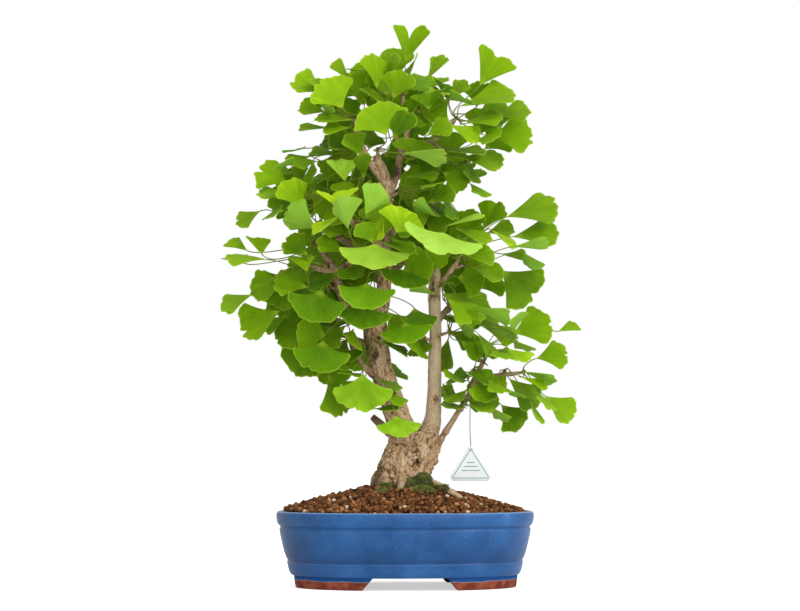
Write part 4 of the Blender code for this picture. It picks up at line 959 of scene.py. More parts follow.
def makeTwigs():
    # thin limbs and spurs: smooth tubes with small swellings where leaves once grew
    chance = random.Random(twig["seed"])
    paths = []
    for path in limbCurves()[1].values():
        rows, swell = [], 0.0
        for *point, radius in smoothCurve([(*point, radius) for point, radius in path], 2):
            starts = chance.random() < twig["swellOften"]
            swell = chance.uniform(*twig["swell"]) if starts else swell * twig["fades"]
            rows.append((Vector(point), radius * (1.0 + swell) * chance.uniform(*twig["uneven"])))
        end, radius = rows[-1]
        ahead = (end - rows[-2][0]).normalized()
        rows += [(end + ahead * radius * 0.6, radius * 0.8), (end + ahead * radius, radius * 0.3)]
        paths.append(rows)
    wide, narrow = layout["spurRadii"]
    for name, (tip, foot, _) in spurLeaves.items():
        start, end = place(*foot), place(*tip)
        rows = []
        for k in range(9):
            part = k / 8
            ring = 1.0 + twig["ringed"] * cos(part * 8 * pi)
            rows.append((start.lerp(end, part), (wide + (narrow - wide) * part) * ring))
        rows.append((budFrame(name)[1], bud["radius"] * 0.7))
        paths.append(rows)
    bm = bmesh.new()
    bm.from_mesh(tubeMesh(paths, 12))
    bmesh.ops.remove_doubles(bm, verts=bm.verts, dist=0.001)
    skin = toMesh(bm, "twigs")
    growBark(skin, dict(enumerate(paths)))
    return finishPiece(skin, "bark_twigs", "bark", "wood")


# Leaf places as the CAD has them: base x, z and depth, heading in degrees, length and width as
# seen, how light it is from 0 dark to 1 yellow-green, which is partly the leaf's own tone and
# partly painted light and shade for how the light falls on it in the crown, and where they aren't
# the usual ones the face that shows (u is the upper one, p the pale one below) and how far it
# folds up. Each spur gives its tip, the point of the wood that it grows from, and its leaves.
usual = ("u", 0.1)
spurs = {
    "crown_top": ((-2, 489, 2), (-2, 480, 2), [
        (1, 524, 0, 64, 38, 37, 0.5, "u", 0.8), (-2, 496, -28, 25, 25, 20, 0.45, "p"),
        (5, 512, 22, 80, 16, 14, 0.55), (-20, 503, -4, 75, 32, 26, 0.5, "u", 0.2),
        (-28, 497, -12, 97, 36, 28, 0.7, "u", 0.2)]),
    "crown_front": ((-13, 465, -15), (-9, 454, -8), [
        (-12, 487, -34, 68, 30, 38, 0.5), (-35, 516, 6, 165, 16, 15, 0.5),
        (-25, 482, -18, 120, 20, 18, 0.3), (-55, 505, 4, 128, 22, 13, 0.5)]),
    "crown_back": ((6, 458, 14), (1, 452, 6), [
        (-12, 500, 44, 110, 26, 40, 0.4), (22, 496, 46, 60, 28, 44, 0.5),
        (4, 470, 62, -70, 26, 46, 0.3), (-30, 462, 52, 180, 30, 38, 0.35)]),
    "crown_right": ((9, 474, 1), (1, 466, 4), [
        (20, 493, -14, 15, 18, 18, 0.7), (22, 507, 0, 45, 26, 22, 0.7),
        (24, 476, -36, 82, 17, 36, 0.35, "p", 0.5), (46, 486, -12, 0, 14, 14, 0.6, "p")]),
    "right_top": ((50, 466, 4), (45, 460, 4), [
        (75, 500, 4, 50, 38, 48, 0.62), (43, 485, 24, 105, 17, 22, 0.5, "p"),
        (45, 486, 2, 52, 26, 20, 0.6), (56, 480, -10, 16, 56, 42, 0.55),
        (60, 462, -26, 12, 38, 20, 0.5, "p"), (94, 458, -22, 60, 14, 27, 0.85, "u", 0.3),
        (88, 449, -8, 4, 40, 50, 0.6)]),
    "right_high": ((29, 449, 4), (25, 444, 9), [
        (22, 450, -18, 30, 27, 28, 0.5), (45, 461, -40, -25, 30, 13, 0.75, "u", 0.2),
        (42, 434, -12, 0, 38, 10, 0.4), (72, 446, -32, 0, 20, 20, 0.5),
        (8, 426, 24, 90, 22, 50, 0.35)]),
    "right_mid": ((35, 437, 12), (27, 444, 9), [
        (55, 428, -12, -6, 44, 31, 0.5), (63, 425, 22, -75, 24, 18, 0.2),
        (38, 413, 4, -30, 28, 38, 0.4), (65, 402, 8, -42, 22, 16, 0.5)]),
    "back_right_tip": ((62, 421, 29), (56, 415, 30), [
        (80, 436, 46, 40, 30, 42, 0.45), (74, 450, 52, 70, 30, 44, 0.5),
        (52, 404, 52, -60, 30, 40, 0.4), (60, 400, 62, -80, 28, 48, 0.4)]),
    "back_right_mid": ((28, 388, 40), (26, 382, 33), [
        (20, 410, 66, 100, 30, 48, 0.35), (50, 376, 66, -70, 30, 44, 0.4),
        (8, 378, 68, -110, 26, 50, 0.3), (40, 404, 58, 40, 30, 40, 0.45)]),
    "left_top": ((-52, 466, 1), (-48, 458, -1), [
        (-80, 494, 18, 170, 32, 30, 0.7), (-78, 488, 8, 115, 24, 28, 0.65),
        (-62, 477, -30, 118, 32, 54, 0.74), (-80, 474, 2, 168, 27, 26, 0.6),
        (-77, 470, -18, 110, 14, 17, 0.5, "p"), (-52, 466, -18, 178, 38, 18, 0.4)]),
    "left_high": ((-51, 446, -8), (-44, 443, -4), [
        (-75, 458, 2, 187, 28, 8, 0.6), (-56, 458, -30, 187, 26, 18, 0.7),
        (-56, 438, 8, 172, 30, 16, 0.05), (-56, 444, 34, 150, 24, 36, 0.3)]),
    "left_shoulder": ((-41, 427, -8), (-35, 422, -5), [
        (-60, 431, 16, 180, 38, 14, 0.25), (-100, 437, 0, 180, 15, 8, 0.6),
        (-88, 424, -10, 185, 25, 20, 0.35), (-92, 425, 8, 262, 24, 16, 0.6),
        (-60, 404, -44, 118, 20, 30, 0.75, "u", 0.5)]),
    "left_back": ((-36, 418, 4), (-28, 411, -2), [
        (-48, 400, 36, 190, 30, 44, 0.35), (-40, 436, 46, 130, 28, 44, 0.45)]),
    "trunk_top": ((-27, 434, -6), (-25, 421, 0), [
        (-19, 450, -44, 103, 29, 60, 0.6), (-12, 446, -24, 60, 32, 36, 0.2),
        (-2, 432, -34, -4, 42, 8, 0.85)]),
    "dark_spur": ((-7, 392, -5), (-15, 388, 2), [
        (2, 408, -4, 8, 32, 13, 0.45), (4, 391, 0, -28, 40, 15, 0.15),
        (31, 369, -36, 152, 26, 13, 0.5, "p"), (35, 393, -10, -58, 32, 14, 0.15),
        (14, 399, -18, 0, 16, 8, 0.5)]),
    "left_wing": ((-76, 389, -20), (-70, 382, -22), [
        (-118, 401, -12, 150, 34, 38, 0.65), (-113, 421, -2, 190, 12, 9, 0.6, "p"),
        (-114, 390, -26, 178, 32, 11, 0.6, "p"), (-103, 376, -38, 118, 30, 31, 0.75),
        (-89, 401, 0, 45, 19, 17, 0.6), (-122, 381, -16, 228, 20, 12, 0.5)]),
    "left_fold": ((-62, 377, -30), (-58, 369, -25), [
        (-66, 376, -62, 115, 18, 42, 1.0, "u", 0.6), (-50, 388, -18, 140, 24, 22, 0.5),
        (-88, 356, -34, 137, 38, 46, 0.55, "p"), (-66, 369, -70, 213, 32, 14, 0.95)]),
    "middle_left": ((-48, 361, -31), (-45, 355, -23), [
        (-57, 356, -54, 108, 32, 32, 0.6, "p", 0.3), (-40, 370, -58, 80, 25, 42, 0.6, "p", 0.2),
        (-30, 352, -18, 95, 28, 30, 0.1), (-21, 368, -50, 243, 27, 24, 0.9, "u", 0.2),
        (-52, 352, -12, 170, 30, 20, 0.35)]),
    "middle": ((-13, 346, -5), (-19, 338, 3), [
        (-9, 352, -52, 60, 26, 52, 0.84, "u", 0.3), (12, 338, -26, 155, 32, 18, 0.5),
        (-25, 343, -46, -15, 38, 16, 0.12)]),
    "left_far": ((-90, 340, -8), (-84, 334, -8), [
        (-145, 374, -20, 208, 27, 23, 0.5), (-158, 334, -30, 145, 18, 12, 0.6),
        (-143, 330, -40, 125, 18, 22, 0.55, "p"), (-97, 329, -24, 105, 17, 34, 0.12)]),
    "left_far_low": ((-96, 319, -15), (-89, 316, -14), [
        (-138, 325, -48, 179, 36, 12, 0.6, "p"), (-160, 321, -30, 155, 18, 16, 0.6),
        (-118, 304, -12, 199, 38, 38, 0.5), (-97, 297, -28, 165, 34, 34, 0.45),
        (-153, 290, -20, 205, 30, 25, 0.6)]),
    "left_curl": ((-80, 319, -17), (-79, 313, -13), [
        (-93, 323, -42, 145, 15, 10, 0.6), (-98, 313, -54, 98, 10, 16, 0.7, "p", 0.5),
        (-92, 324, 10, 183, 26, 20, 0.5)]),
    "left_low": ((-73, 297, -13), (-65, 295, -9), [
        (-125, 274, -24, 210, 44, 44, 0.55), (-118, 270, -8, 220, 28, 20, 0.4),
        (-84, 295, -56, -115, 32, 62, 0.28)]),
    "red_spur": ((-50, 323, -13), (-58, 320, -12), [
        (-66, 312, -26, 205, 34, 28, 0.12), (-42, 312, -26, 195, 22, 17, 0.25),
        (-30, 341, -64, -88, 21, 68, 0.74)]),
    "middle_front": ((-21, 318, -8), (-20, 312, 2), [
        (-38, 302, -66, -95, 27, 58, 0.45), (2, 316, -52, -104, 20, 54, 0.15)]),
    "front_low": ((-35, 283, -13), (-27, 274, -3), [
        (-40, 281, -52, -98, 25, 56, 0.25), (9, 277, -20, -50, 25, 36, 0.08),
        (0, 262, -46, -72, 22, 52, 0.4)]),
    "left_under": ((-57, 264, -18), (-50, 271, -6), [
        (-82, 244, -46, -97, 32, 60, 0.35), (-95, 262, -16, 206, 38, 38, 0.2),
        (-68, 268, -6, 215, 34, 24, 0.15)]),
    "thin_left": ((-56, 243, -13), (-52, 236, -10), [
        (-78, 240, -14, -40, 36, 26, 0.3), (-90, 240, -8, 230, 36, 52, 0.15),
        (-52, 255, -22, -80, 18, 20, 0.5), (-76, 210, -6, -63, 40, 34, 0.4)]),
    "trunk_knot": ((-35, 233, -17), (-30, 229, -8), [
        (-42, 211, -48, -92, 37, 64, 0.85), (-29, 246, -30, -28, 36, 9, 0.12),
        (-44, 211, -22, 185, 12, 8, 0.5)]),
    "trunk_low": ((-12, 191, -19), (-14, 187, -8), [
        (-20, 196, -30, -50, 22, 16, 0.4), (-30, 206, -30, -22, 28, 9, 0.2),
        (-9, 169, -48, -75, 21, 46, 0.85), (-30, 176, -28, 0, 22, 10, 0.4)]),
    "low_back": ((-69, 252, 54), (-63, 250, 51), [
        (-88, 236, 66, 205, 26, 44, 0.45), (-72, 228, 74, -90, 30, 44, 0.4),
        (-84, 268, 66, 150, 30, 44, 0.5), (-52, 240, 78, -50, 30, 44, 0.4)]),
    "back_left_tip": ((-87, 359, 52), (-81, 355, 50), [
        (-82, 352, 66, 200, 24, 40, 0.5), (-92, 376, 70, 110, 30, 44, 0.55),
        (-78, 336, 78, -80, 30, 50, 0.4), (-72, 366, 82, 40, 28, 40, 0.5)]),
    "back_left_mid": ((-54, 346, 47), (-57, 341, 41), [
        (-50, 372, 66, 80, 30, 48, 0.5), (-40, 330, 74, -60, 30, 50, 0.4),
        (-86, 318, 56, 215, 30, 44, 0.45)]),
    "back_left_low": ((-32, 322, 32), (-34, 324, 25), [
        (-52, 300, 48, -120, 32, 52, 0.3), (-38, 290, 36, -100, 26, 44, 0.3)]),
    "back_middle": ((8, 341, 62), (6, 335, 57), [
        (-10, 352, 78, 130, 28, 46, 0.4), (16, 330, 84, -70, 30, 52, 0.4),
        (24, 354, 74, 40, 28, 44, 0.5), (-12, 326, 74, -120, 26, 44, 0.35)]),
    "bough": ((54, 326, -5), (50, 319, -1), [
        (42, 359, -34, 17, 38, 11, 0.8), (50, 357, -18, -18, 38, 20, 0.5),
        (78, 355, 12, 50, 36, 36, 0.55), (87, 355, -20, -38, 30, 13, 0.85),
        (108, 338, -24, 5, 36, 11, 0.6, "p"), (40, 352, -64, -75, 20, 80, 0.66)]),
    "bough_right": ((57, 319, 1), (50, 317, -1), [
        (102, 368, 22, 18, 47, 42, 0.52), (108, 348, 2, 6, 42, 36, 0.45),
        (96, 331, 8, -12, 28, 14, 0.45), (118, 333, -12, -50, 22, 15, 0.6, "p"),
        (97, 314, -6, -28, 42, 50, 0.12), (66, 318, -14, -18, 34, 24, 0.45),
        (58, 322, 18, -105, 24, 30, 0.4)]),
    "right_stump": ((36, 300, -5), (31, 296, 2), [
        (38, 291, -14, -12, 50, 30, 0.62), (62, 280, -26, -24, 46, 10, 0.6, "p"),
        (30, 290, -14, 165, 24, 9, 0.55, "p")]),
    "right_back_tip": ((69, 293, 48), (63, 289, 45), [
        (88, 302, 62, 30, 30, 44, 0.45), (78, 276, 68, -50, 30, 46, 0.4),
        (64, 314, 70, 90, 28, 44, 0.5), (76, 296, 58, 25, 26, 38, 0.4)]),
    "right_back_mid": ((43, 285, 21), (44, 277, 26), [
        (62, 274, 26, -20, 36, 20, 0.4), (60, 268, 16, 195, 18, 18, 0.35),
        (40, 304, 42, 90, 26, 38, 0.4)]),
    "right_knot": ((43, 252, -1), (31, 248, 3), [
        (74, 260, -12, -18, 42, 24, 0.5), (46, 270, -16, -45, 32, 9, 0.55, "p"),
        (72, 252, -28, -52, 32, 15, 0.25), (66, 254, 2, -60, 34, 22, 0.3),
        (43, 246, 18, -98, 34, 26, 0.3), (108, 251, -6, 18, 40, 46, 0.5)]),
    "trunk_gap": ((21, 246, -5), (29, 242, 2), [
        (10, 247, -10, -80, 18, 22, 0.4)]),
    "right_tip": ((82, 231, -1), (79, 224, 0), [
        (86, 234, -18, -30, 16, 15, 0.6), (107, 252, 8, 68, 21, 17, 0.7, "p"),
        (153, 253, 34, 24, 23, 17, 0.6), (103, 236, -24, -35, 22, 20, 0.8),
        (107, 245, -14, -30, 20, 9, 0.6, "p"), (88, 232, 16, -10, 24, 14, 0.5)]),
    "right_fork": ((70, 214, -6), (74, 211, 0), [
        (71, 223, -14, 92, 11, 28, 0.6), (60, 213, -22, -20, 30, 19, 0.5),
        (83, 205, -8, -42, 20, 18, 0.5), (62, 204, -10, 172, 19, 12, 0.5)]),
    "right_twig": ((99, 213, -5), (97, 210, 1), [
        (104, 206, -10, -45, 40, 34, 0.25), (125, 184, -26, -68, 23, 10, 0.6),
        (102, 195, -28, -22, 18, 6, 0.6, "p")]),
    "right_twig_tip": ((116, 212, -1), (110, 211, 0), [
        (131, 226, -4, 12, 32, 32, 0.6), (118, 213, -18, -15, 34, 10, 0.6, "p"),
        (116, 208, -30, -25, 28, 12, 0.7), (139, 189, -2, -38, 37, 32, 0.55),
        (134, 192, -16, -62, 18, 15, 0.7)]),
    "right_low": ((58, 182, -5), (60, 181, 0), [
        (62, 195, 8, 215, 22, 15, 0.75), (66, 184, -12, 22, 28, 20, 0.7),
        (64, 180, -26, -22, 20, 10, 0.6), (96, 180, -6, -48, 31, 36, 0.2),
        (83, 179, -20, -40, 24, 11, 0.6, "p")]),
    "right_inner": ((56, 175, 5), (56, 175, 0), [
        (38, 183, 12, -30, 14, 13, 0.5), (38, 200, 14, -80, 17, 8, 0.4)]),
}
spurLeaves, leafShades = {}, {}
for name, (tip, foot, rows) in spurs.items():
    own = [row[:6] + row[7:] + usual[len(row) - 7:] for row in rows]
    spurLeaves["leaves_" + name] = (tip, foot, own)
    leafShades["leaves_" + name] = [row[6] for row in rows]



def byLeaf(table):
    # what a table gives by spur and number, by leaf
    return {
        ("leaves_" + name, i): value for name, own in table.items() for i, value in own.items()}


# Leaves that the finish shows otherwise than the CAD: heading, length and width, and where they
# aren't the usual ones the half angle, the face and the fold.
leafLooks = byLeaf({
    "crown_top": {0: (79, 41, 42, 31, "u", 0.15)}, "crown_front": {3: (128, 26, 16, 20)},
    "crown_back": {0: (112, 22, 36), 1: (55, 20, 34)},
    "crown_right": {1: (50, 30, 20), 2: (84, 20, 36, 50, "u", 0.3)},
    "right_top": {0: (58, 43, 48, 34), 3: (12, 56, 34), 4: (14, 38, 22)},
    "right_high": {1: (-30, 34, 24, 0, "u", 0.2), 2: (0, 40, 15)},
    "back_right_tip": {2: (70, 22, 30), 3: (60, 22, 30)},
    "left_top": {0: (160, 36, 34), 2: (125, 36, 52)}, "left_high": {0: (183, 32, 13)},
    "left_shoulder": {4: (115, 24, 32, 0, "u", 0.4)},
    "trunk_top": {0: (112, 34, 60, 66), 2: (-3, 44, 13, 0, "p")},
    "left_wing": {2: (176, 34, 17), 3: (118, 33, 36)}, "left_fold": {2: (152, 36, 33, 0, "p")},
    "middle_left": {1: (62, 33, 30, 46, "p")},
    "left_far": {1: (145, 22, 17, 24), 2: (108, 20, 24, 34), 3: (140, 28, 32)},
    "left_far_low": {0: (175, 40, 16), 4: (203, 34, 24)},
    "left_curl": {1: (120, 17, 24, 34, "u", 0.3)}, "left_low": {2: (-102, 33, 62, 78)},
    "red_spur": {2: (-95, 26, 72, 80)}, "front_low": {1: (-72, 24, 38), 2: (-80, 21, 54, 78)},
    "thin_left": {3: (-70, 43, 38)}, "bough": {2: (60, 33, 32), 5: (-107, 23, 82, 78)},
    "bough_right": {0: (15, 53, 42), 1: (6, 46, 36), 4: (-42, 43, 60, 46)},
    "right_stump": {0: (-24, 50, 46)}, "right_back_tip": {0: (100, 22, 28), 1: (-110, 22, 28)},
    "right_tip": {2: (24, 22, 15, 22, "u", 0.0)}})

# Leaves of another hue: from 0 for fresh green to 0.28 for pale green.
leafHues = byLeaf({
    "crown_right": {2: 0.03}, "left_high": {2: 0.02}, "left_shoulder": {4: 0.2},
    "trunk_top": {1: 0.04, 2: 0.26}, "dark_spur": {1: 0.04, 2: 0.26, 3: 0.03},
    "middle_left": {0: 0.25, 1: 0.24}, "middle": {1: 0.06}, "left_low": {2: 0.0},
    "red_spur": {0: 0.0, 1: 0.02, 2: 0.2}, "middle_front": {0: 0.0, 1: 0.0},
    "front_low": {0: 0.03, 1: 0.03, 2: 0.0}, "left_under": {0: 0.0},
    "trunk_knot": {0: 0.05, 1: 0.02}, "trunk_low": {2: 0.05}, "bough": {0: 0.2, 5: 0.27},
    "right_fork": {0: 0.0, 1: 0.03}})

# Leaves whose rim is cleft: where across the fan, how deep and how wide.
leafClefts = byLeaf({
    "crown_top": {0: (0.12, 0.42, 0.55)}, "right_top": {0: (0.0, 0.2, 0.95)},
    "left_wing": {0: (0.1, 0.24, 0.2)}, "left_low": {0: (0.0, 0.12, 0.15)},
    "red_spur": {2: (0.3, 0.13, 0.12)}, "left_under": {0: (-0.3, 0.12, 0.1)},
    "bough": {5: (0.2, 0.16, 0.1)}, "bough_right": {4: (0.1, 0.15, 0.12)}})

# The blade's limits and bends as the CAD has them, and the finer shape that is added here.
leaf = {
    "narrowest": radians(36), "widest": radians(64), "yields": 0.6, "neck": 0.45,
    "least": 26.0, "droop": 0.12, "rows": (0.12, 0.55, 1.0), "levelHeading": 0.25,
    "crease": 55, "shownWidest": radians(78), "shownNeck": 0.42, "shownDroop": 0.03,
    "inside": 0.5,
    "columns": 32, "ribs": 6, "thick": 0.42, "cornerFrom": 0.86, "cornerDrop": 0.09,
    "scallops": ((9.0, 0.02), (16.0, 0.014), (27.0, 0.013)), "ragged": 0.01, "wave": 0.022,
    "cup": 0.12, "cleftShare": 0.45, "cleftDeep": (0.03, 0.14), "cleftWide": 0.1,
    "stalk": (0.8, 0.5, 0.55), "stalkSides": 6, "seed": 5, "ruleShade": (0.2, 0.5),
    "edge": 0.2, "paintedEdgeHighlight": 0.2,
}
bud = {
    "radius": 1.9, "height": 2.6, "clear": 1.0, "leastSides": 3,
    "scales": [
        (-1.0, 0.8), (-0.6, 1.05), (0.0, 1.0), (0.7, 0.9), (1.2, 0.62), (1.7, 0.3), (2.0, 0.08)],
}
stalk = {
    "start": 1.5, "leave": 0.22, "arrive": 0.3, "steps": 10, "cuts": 3, "bowSides": 8,
    "bows": [0.0, 0.18, 0.36, 0.6], "routeSides": 5, "routeRadius": 0.05,
}
layout = {
    "bladeRoom": 1.25, "stalkRoom": 1.5, "woodRoom": 1.2, "spurRadii": (2.1, 1.3), "spurSides": 5,
    "depths": [0, 4, -4, 8, -8, 12, -12, 16, -16, 21, -21, 27, -27], "sizes": [1.0, 0.85, 0.7],
    "testSides": 6, "budSwell": 1.2, "halves": 3,
}

# Leaves beyond the ones of the table: how many a spur may get by the rule, and how they are made.
filling = {
    "each": 4, "tries": 30, "stalk": (16.0, 32.0), "length": (26.0, 34.0), "width": (36.0, 52.0),
    "behind": (-6.0, 40.0), "reach": 8.0, "seed": 23, "spotStalk": 18.0, "sag": 2.0, "lean": 45.0,
    # gaps to fill: x, z and radius as seen
    "spots": [
        (-35, 411, 16), (-60, 431, 16), (40, 440, 12), (6, 400, 14), (2, 388, 12), (-72, 417, 16),
        (30, 476, 16), (14, 472, 12), (-8, 482, 14), (-75, 375, 14), (-60, 340, 14), (50, 300, 12),
        (-60, 476, 12), (78, 436, 10), (-125, 282, 12), (95, 358, 12), (-6, 258, 8), (70, 196, 10),
        (104, 206, 12), (-60, 500, 10)],
    "spotTries": 40, "frontBack": (-100.0, 97.0),
    # the depths, sizes and bows that a leaf on a named spur is tried at, and one by the rule
    "fits": ([0, 5, -5, 10, -10, 16, -16, 24], [1.0, 0.8], [0.0, 0.3, 0.5]),
    "ruleFits": ([0, 7, -7, 14], [1.0], [0.0, 0.3]),
    # more leaves on named spurs: their base, heading, length and width, and how light they are,
    # partly their own tone and partly painted light and shade
    "added": [
        ("left_shoulder", -36, 436, 18, 95, 22, 34, 0.1),
        ("left_back", -38, 424, 22, -95, 28, 36, 0.2),
        ("left_back", -30, 416, 14, 200, 28, 20, 0.15),
        ("right_stump", 48, 286, 4, -30, 30, 30, 0.35), ("bough", 82, 352, 18, 12, 28, 24, 0.45),
        ("left_shoulder", -94, 429, 4, 192, 28, 16, 0.5),
        ("crown_right", 6, 480, -8, 80, 26, 30, 0.3),
        ("crown_front", -18, 480, 8, 105, 28, 34, 0.35),
        ("right_top", 92, 470, 4, 12, 34, 28, 0.5),
        ("right_back_mid", 52, 274, 12, 0, 26, 16, 0.35),
        ("red_spur", -60, 332, -30, 150, 30, 26, 0.4),
        ("trunk_knot", -40, 240, -4, 230, 22, 18, 0.2),
        ("right_fork", 66, 208, 8, 185, 22, 18, 0.4),
        ("left_wing", -112, 412, 0, 172, 24, 18, 0.5),
        ("left_shoulder", -42, 428, -36, 125, 28, 26, 0.3),
        ("left_back", -42, 406, -34, 86, 26, 20, 0.2),
        ("left_under", -60, 258, -20, -140, 28, 32, 0.2),
        ("left_under", -56, 262, 0, 180, 28, 22, 0.25),
        ("thin_left", -60, 248, -8, 165, 26, 28, 0.3),
        ("thin_left", -58, 246, 6, -120, 24, 24, 0.15),
        ("trunk_gap", 18, 251, 10, -105, 24, 24, 0.35),
        ("right_knot", 45, 253, 16, -24, 28, 26, 0.35),
        ("trunk_top", 10, 428, -18, 95, 21, 46, 0.25),
        ("crown_right", 3, 464, -20, 85, 24, 28, 0.3),
        ("dark_spur", 24, 382, -14, 32, 28, 26, 0.2),
        ("middle_left", -32, 342, -44, 125, 26, 28, 0.3),
        ("left_shoulder", -58, 452, -14, 120, 24, 28, 0.35),
        ("right_knot", 56, 244, -10, -40, 26, 24, 0.45),
        ("bough", 60, 330, -30, -10, 30, 24, 0.4), ("left_back", -20, 406, 14, 68, 30, 34, 0.12),
        ("crown_front", -6, 430, 24, 250, 28, 34, 0.15),
        ("right_low", 66, 186, -10, -6, 28, 26, 0.55),
        ("right_fork", 74, 204, -12, -84, 24, 30, 0.55),
        ("right_fork", 78, 208, -8, -28, 26, 20, 0.5),
        ("trunk_knot", -22, 212, 8, 0, 22, 18, 0.3),
        ("left_shoulder", -46, 438, -4, 165, 32, 28, 0.02),
        ("right_low", 54, 186, 12, 160, 24, 20, 0.5),
        ("right_stump", 42, 286, -20, -40, 34, 30, 0.5)],
    # openings that stay free of the leaves by the rule: from x to x and from z to z as seen
    "open": [
        (75, 112, 395, 432), (100, 132, 345, 362), (-14, 22, 160, 236), (-15, 22, 268, 300),
        (85, 116, 276, 292), (45, 82, 222, 250), (38, 74, 378, 402), (-200, 200, 0, 168),
        (82, 124, 318, 338), (80, 98, 294, 314), (-118, -86, 345, 364), (-106, -68, 194, 212),
        (38, 60, 194, 236), (126, 152, 182, 216), (-118, -86, 450, 470), (-116, -86, 306, 318),
        (86, 112, 182, 208), (100, 136, 228, 248), (-90, -66, 506, 520), (12, 48, 512, 532),
        (46, 66, 466, 484), (60, 80, 448, 460)],
}


# How light each leaf is that finds room beyond the table's: partly its own tone, partly painted
# light and shade.
addedShades = {}


class Leaf:
    # one leaf of the layout: where its blade springs, how it lies and how large it is
    def __init__(self, row, shift, scale, widest=None, half=None):
        x, z, depth, heading, length, width, face, fold = row
        self.made = (row, shift, scale)
        self.base = place(x, z, depth + shift)
        self.fold = fold
        widest = widest or leaf["widest"]
        size = max(length, width / (2.0 * sin(half or widest)), leaf["least"])
        self.size = size * scale
        asSeen = asin(min(1.0, width / (2.0 * size)))
        yielded = widest - leaf["yields"] * (widest - asSeen)
        self.halfAngle = half or max(leaf["narrowest"], yielded)
        self.neck, self.droop = leaf["neck"], leaf["droop"]
        tilt = acos(min(1.0, length / size))
        roll = acos(min(1.0, width / (2.0 * size * sin(self.halfAngle))))
        angle = radians(heading)
        flat = right * cos(angle) + up * sin(angle)
        across = up * cos(angle) - right * sin(angle)
        showsTop = face == "u"
        rises = sin(angle)
        if abs(rises) > leaf["levelHeading"]:
            lean = 1.0 if (rises > 0) == showsTop else -1.0
        else:
            lean = -1.0 if depth < 0 else 1.0
        self.axis = flat * cos(tilt) + away * sin(tilt) * lean
        best = None
        for side in (1.0, -1.0):
            third = self.axis.cross(across)
            edge = across * cos(roll) + third * sin(roll) * side
            top = self.axis.cross(edge)
            if (top.dot(away) < 0) != showsTop:
                top = -top
            if best is None or top.z > best.z:
                best = top
        self.top = best
        self.side = self.top.cross(self.axis)

    def point(self, across, along):
        # across runs from -1 to 1, along from 0 at the stalk to 1 at the rim
        angle = across * self.halfAngle * (self.neck + (1.0 - self.neck) * along)
        reach = self.size * along
        x, y = reach * sin(angle), reach * cos(angle)
        height = self.fold * abs(x) - self.droop * self.size * along * along
        return self.base + self.side * x + self.axis * y + self.top * height


def bladeTree(blade, room):
    # the blade as a closed thick plate, or as a bare sheet where no room is asked for
    grow = 1.0 + room / blade.size
    halves, width, count = layout["halves"], 2 * layout["halves"] + 1, len(leaf["rows"])
    columns = [k / halves * grow for k in range(-halves, halves + 1)]
    rows = [[blade.point(across, along * grow) for across in columns] for along in leaf["rows"]]
    points, faces = [], []
    for level in (room, -room) if room else (0.0,):
        first = len(points)
        for row in rows:
            points.extend(point + blade.top * level for point in row)
        for i in range(count - 1):
            for k in range(width - 1):
                a = first + width * i + k
                faces.append((a, a + 1, a + width + 1, a + width))
    if room:
        near, far = list(range(width)), list(range(width * (count - 1), width * count))
        rightRim = [width * i - 1 for i in range(2, count)]
        leftRim = [width * i for i in range(count - 2, 0, -1)]
        rim = near + rightRim + far[::-1] + leftRim
        for a, b in zip(rim, rim[1:] + rim[:1]):
            faces.append((a, b, b + width * count, a + width * count))
    return BVHTree.FromPolygons(points, faces, all_triangles=False)


def ringsAlong(path, radii, sides, carried):
    # rings of points round a path; carried rings keep their turn from one to the next
    rings, side = [], None
    for i, centre in enumerate(path):
        before, after = path[max(i - 1, 0)], path[min(i + 1, len(path) - 1)]
        along = (after - before).normalized()
        side = along.orthogonal() if side is None or not carried else side - along * side.dot(along)
        side = side.normalized()
        other = along.cross(side)
        angles = [k * tau / sides for k in range(sides)]
        rings.append([
            centre + (side * cos(angle) + other * sin(angle)) * radii[i]
            for angle in angles])
    return rings


def ringTree(rings, closed):
    sides = len(rings[0])
    points = [point for ring in rings for point in ring]
    faces = []
    for i in range(len(rings) - 1):
        for k in range(sides):
            a, b = sides * i + k, sides * i + (k + 1) % sides
            faces.append((a, b, b + sides, a + sides))
    if closed:
        last = sides * (len(rings) - 1)
        faces.append(tuple(reversed(range(sides))))
        faces.append(tuple(range(last, last + sides)))
    return BVHTree.FromPolygons(points, faces, all_triangles=False)


def limbTree(rows, sides, room):
    # a limb with the room that the leaves keep from it, also past its two ends
    path = [point for point, _ in rows]
    rings = ringsAlong(path, [radius + room for _, radius in rows], sides, True)
    tail, head = (path[1] - path[0]).normalized() * room, (path[-1] - path[-2]).normalized() * room
    rings[0] = [point - tail for point in rings[0]]
    rings[-1] = [point + head for point in rings[-1]]
    return ringTree(rings, True)


def routeTree(path, radius):
    return ringTree(ringsAlong(path, [radius] * len(path), stalk["routeSides"], False), False)


def stalkPath(start, outward, blade, bow, side):
    # a smooth path from the bud's face to the blade's base, bent out to one side
    reach = (blade.base - start).length
    chord = (blade.base - start).normalized()
    first = chord.orthogonal().normalized()
    second = chord.cross(first)
    push = (first * cos(side) + second * sin(side)) * bow * reach
    p1 = start + outward * (stalk["start"] + stalk["leave"] * reach) + push
    p2 = blade.base - blade.axis * stalk["arrive"] * reach + push
    last = stalk["steps"] - 1
    return [curvePoint(start, p1, p2, blade.base, i / last) for i in range(last + 1)]


def straightRuns(path, blade):
    step = (stalk["steps"] - 1) // stalk["cuts"]
    return path[::step][:-1] + [blade.point(0.0, leaf["rows"][0])]


def budFrame(name):
    # a spur's direction, the middle of its bud and two directions across it
    tip, foot, _ = spurLeaves[name]
    tip = place(*tip)
    along = (tip - place(*foot)).normalized()
    centre = tip + along * (bud["clear"] + bud["height"] / 2)
    first = along.orthogonal().normalized()
    return along, centre, first, along.cross(first)


